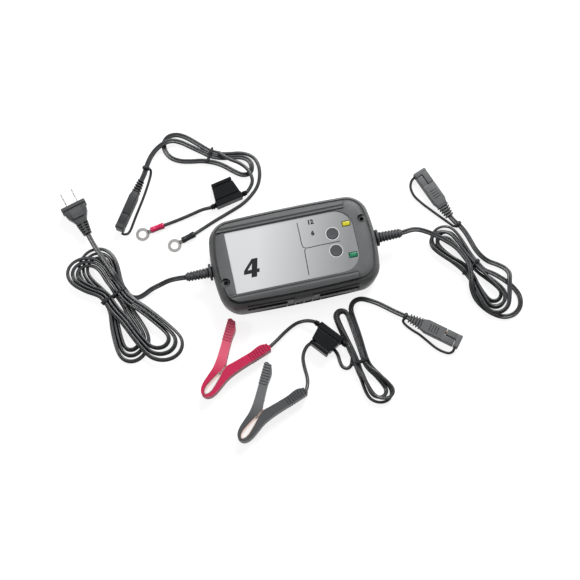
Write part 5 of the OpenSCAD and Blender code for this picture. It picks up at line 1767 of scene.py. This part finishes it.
def wires() -> tuple[Lead, ...]:
    """The single wires from each split to the fuse holders, ring terminals and clamps.

    Returns:
        The wires, in the order in which they are built.
    """
    def wire(name: str, solid: str, *points: Point) -> Lead:
        """A single round wire through these points."""
        return Lead(name, Section.WIRE, (points,), (solid,))

    def sleeve_end(ring: RingTerminal) -> Point:
        """Where a wire enters a sleeve."""
        return ring.place.point(24.6, 0.0, 2.9)

    def handle_run(clamp: Clamp) -> tuple[Point, ...]:
        """Where a wire enters the fixed handle of a clamp and runs on inside it to the jaws."""
        inside = ((45.5, -24.0, 7.0), (38.0, -21.0, 7.3), (29.0, -17.0, 7.5), (20.0, -13.2, 7.5),
                  (11.0, -9.5, 7.5))
        return tuple(clamp.place.point(*p) for p in inside)

    return (
        wire("ring_black_lead_wire", "ring_black_wire", (-54, 134.8, 2.4), (-43, 132.8, 2), (-32, 131, 2),
             (-22, 126, 2), (-17, 119, 2), (-15.5, 110, 2), (-17, 100, 2), (-21.5, 90, 2), (-29.5, 81.5, 2),
             (-41, 73.5, 2), (-57, 67, 2), (-75, 60.5, 2), (-90, 54.5, 2), sleeve_end(BLACK_RING)),
        wire("ring_fuse_feed_wire", "ring_red_wire", (-55, 135.2, 5.9), (-51, 130.5, 6.3), (-44.5, 124.5, 6.3),
             (-36.5, 119, 6.3), (-30, 112, 6.3), (-26, 103, 6.3), (-26, 95, 6.3), (-29, 89.5, 6.4),
             RING_FUSE.port(1)),
        wire("ring_red_lead_wire", "ring_red_wire", RING_FUSE.port(-1), (-85, 75, 5.5), (-95, 73.5, 3.5),
             (-106, 71.5, 2), (-118, 69.2, 2), sleeve_end(RED_RING)),
        wire("clamp_black_lead_wire", "clamp_black_wire", (38, -117, 5.4), (36.9, -121.5, 3.2),
             (34.6, -126.6, 2), (29.8, -128.8, 2), (25.4, -125.6, 2), (24, -119, 2), (23.4, -111.5, 2),
             (20, -104.5, 2), (13, -98.5, 2), (4, -94, 2), (-4, -94.5, 2), (-10, -100, 2), (-13.5, -108, 2),
             (-14, -118, 2), (-13.5, -130, 3), (-15.5, -139, 5.2), *handle_run(BLACK_CLAMP)),
        wire("clamp_red_lead_wire", "clamp_red_wire", CLAMP_FUSE.port(1), (1, -71, 9), (-5, -69.5, 6),
             (-13, -70, 3.5), (-22, -74, 3), (-30, -79, 3.5), (-37, -84, 5), *handle_run(RED_CLAMP)),
    )


def build_leads() -> None:
    plug = PLUG.build()
    connectors = {c.name: c.build() for c in (OUTPUT_CONNECTOR, RING_CONNECTOR, CLAMP_CONNECTOR)}
    ring_box, clamp_box = RING_FUSE.build(), CLAMP_FUSE.build()
    rings = {r.name: r.build() for r in (RED_RING, BLACK_RING)}
    clamps = {c.name: c.build() for c in (RED_CLAMP, BLACK_CLAMP)}
    split = tuple(float(v) for v in CLAMP_HANK.path()[-1])
    feed = Lead("clamp_fuse_feed_wire", Section.WIRE, ((split, (37.5, -112, 8.6), CLAMP_FUSE.port(-1)),),
                ("clamp_red_wire",)).short()
    for lead in (MAINS_LEAD, OUTPUT_LEAD, RING_LEAD, CLAMP_LEAD, *wires()):
        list(lead.build())
    for piece in (*TETHERS, *TIES):
        piece.build()
    dress("connector_contacts", BRASS, Edge(0.4, 2))
    dress("blade_fuses", Moulding("fuse_resin", (226, 120, 30), roughness=0.25), Edge(0.3, 2))


def main() -> None:
    """Builds the scene, the camera and the leads first."""
    logging.basicConfig(level=logging.INFO, format="%(name)s: %(message)s")
    Viewpoint().place()
    build_leads()
    Studio().place()
    Case().build()
    Boot("mains_relief_boot", "mains_strain_relief", -1.0, True).build()
    Boot("output_relief_boot", "output_strain_relief", 1.0, False).build()


if __name__ == "__main__":
    main()
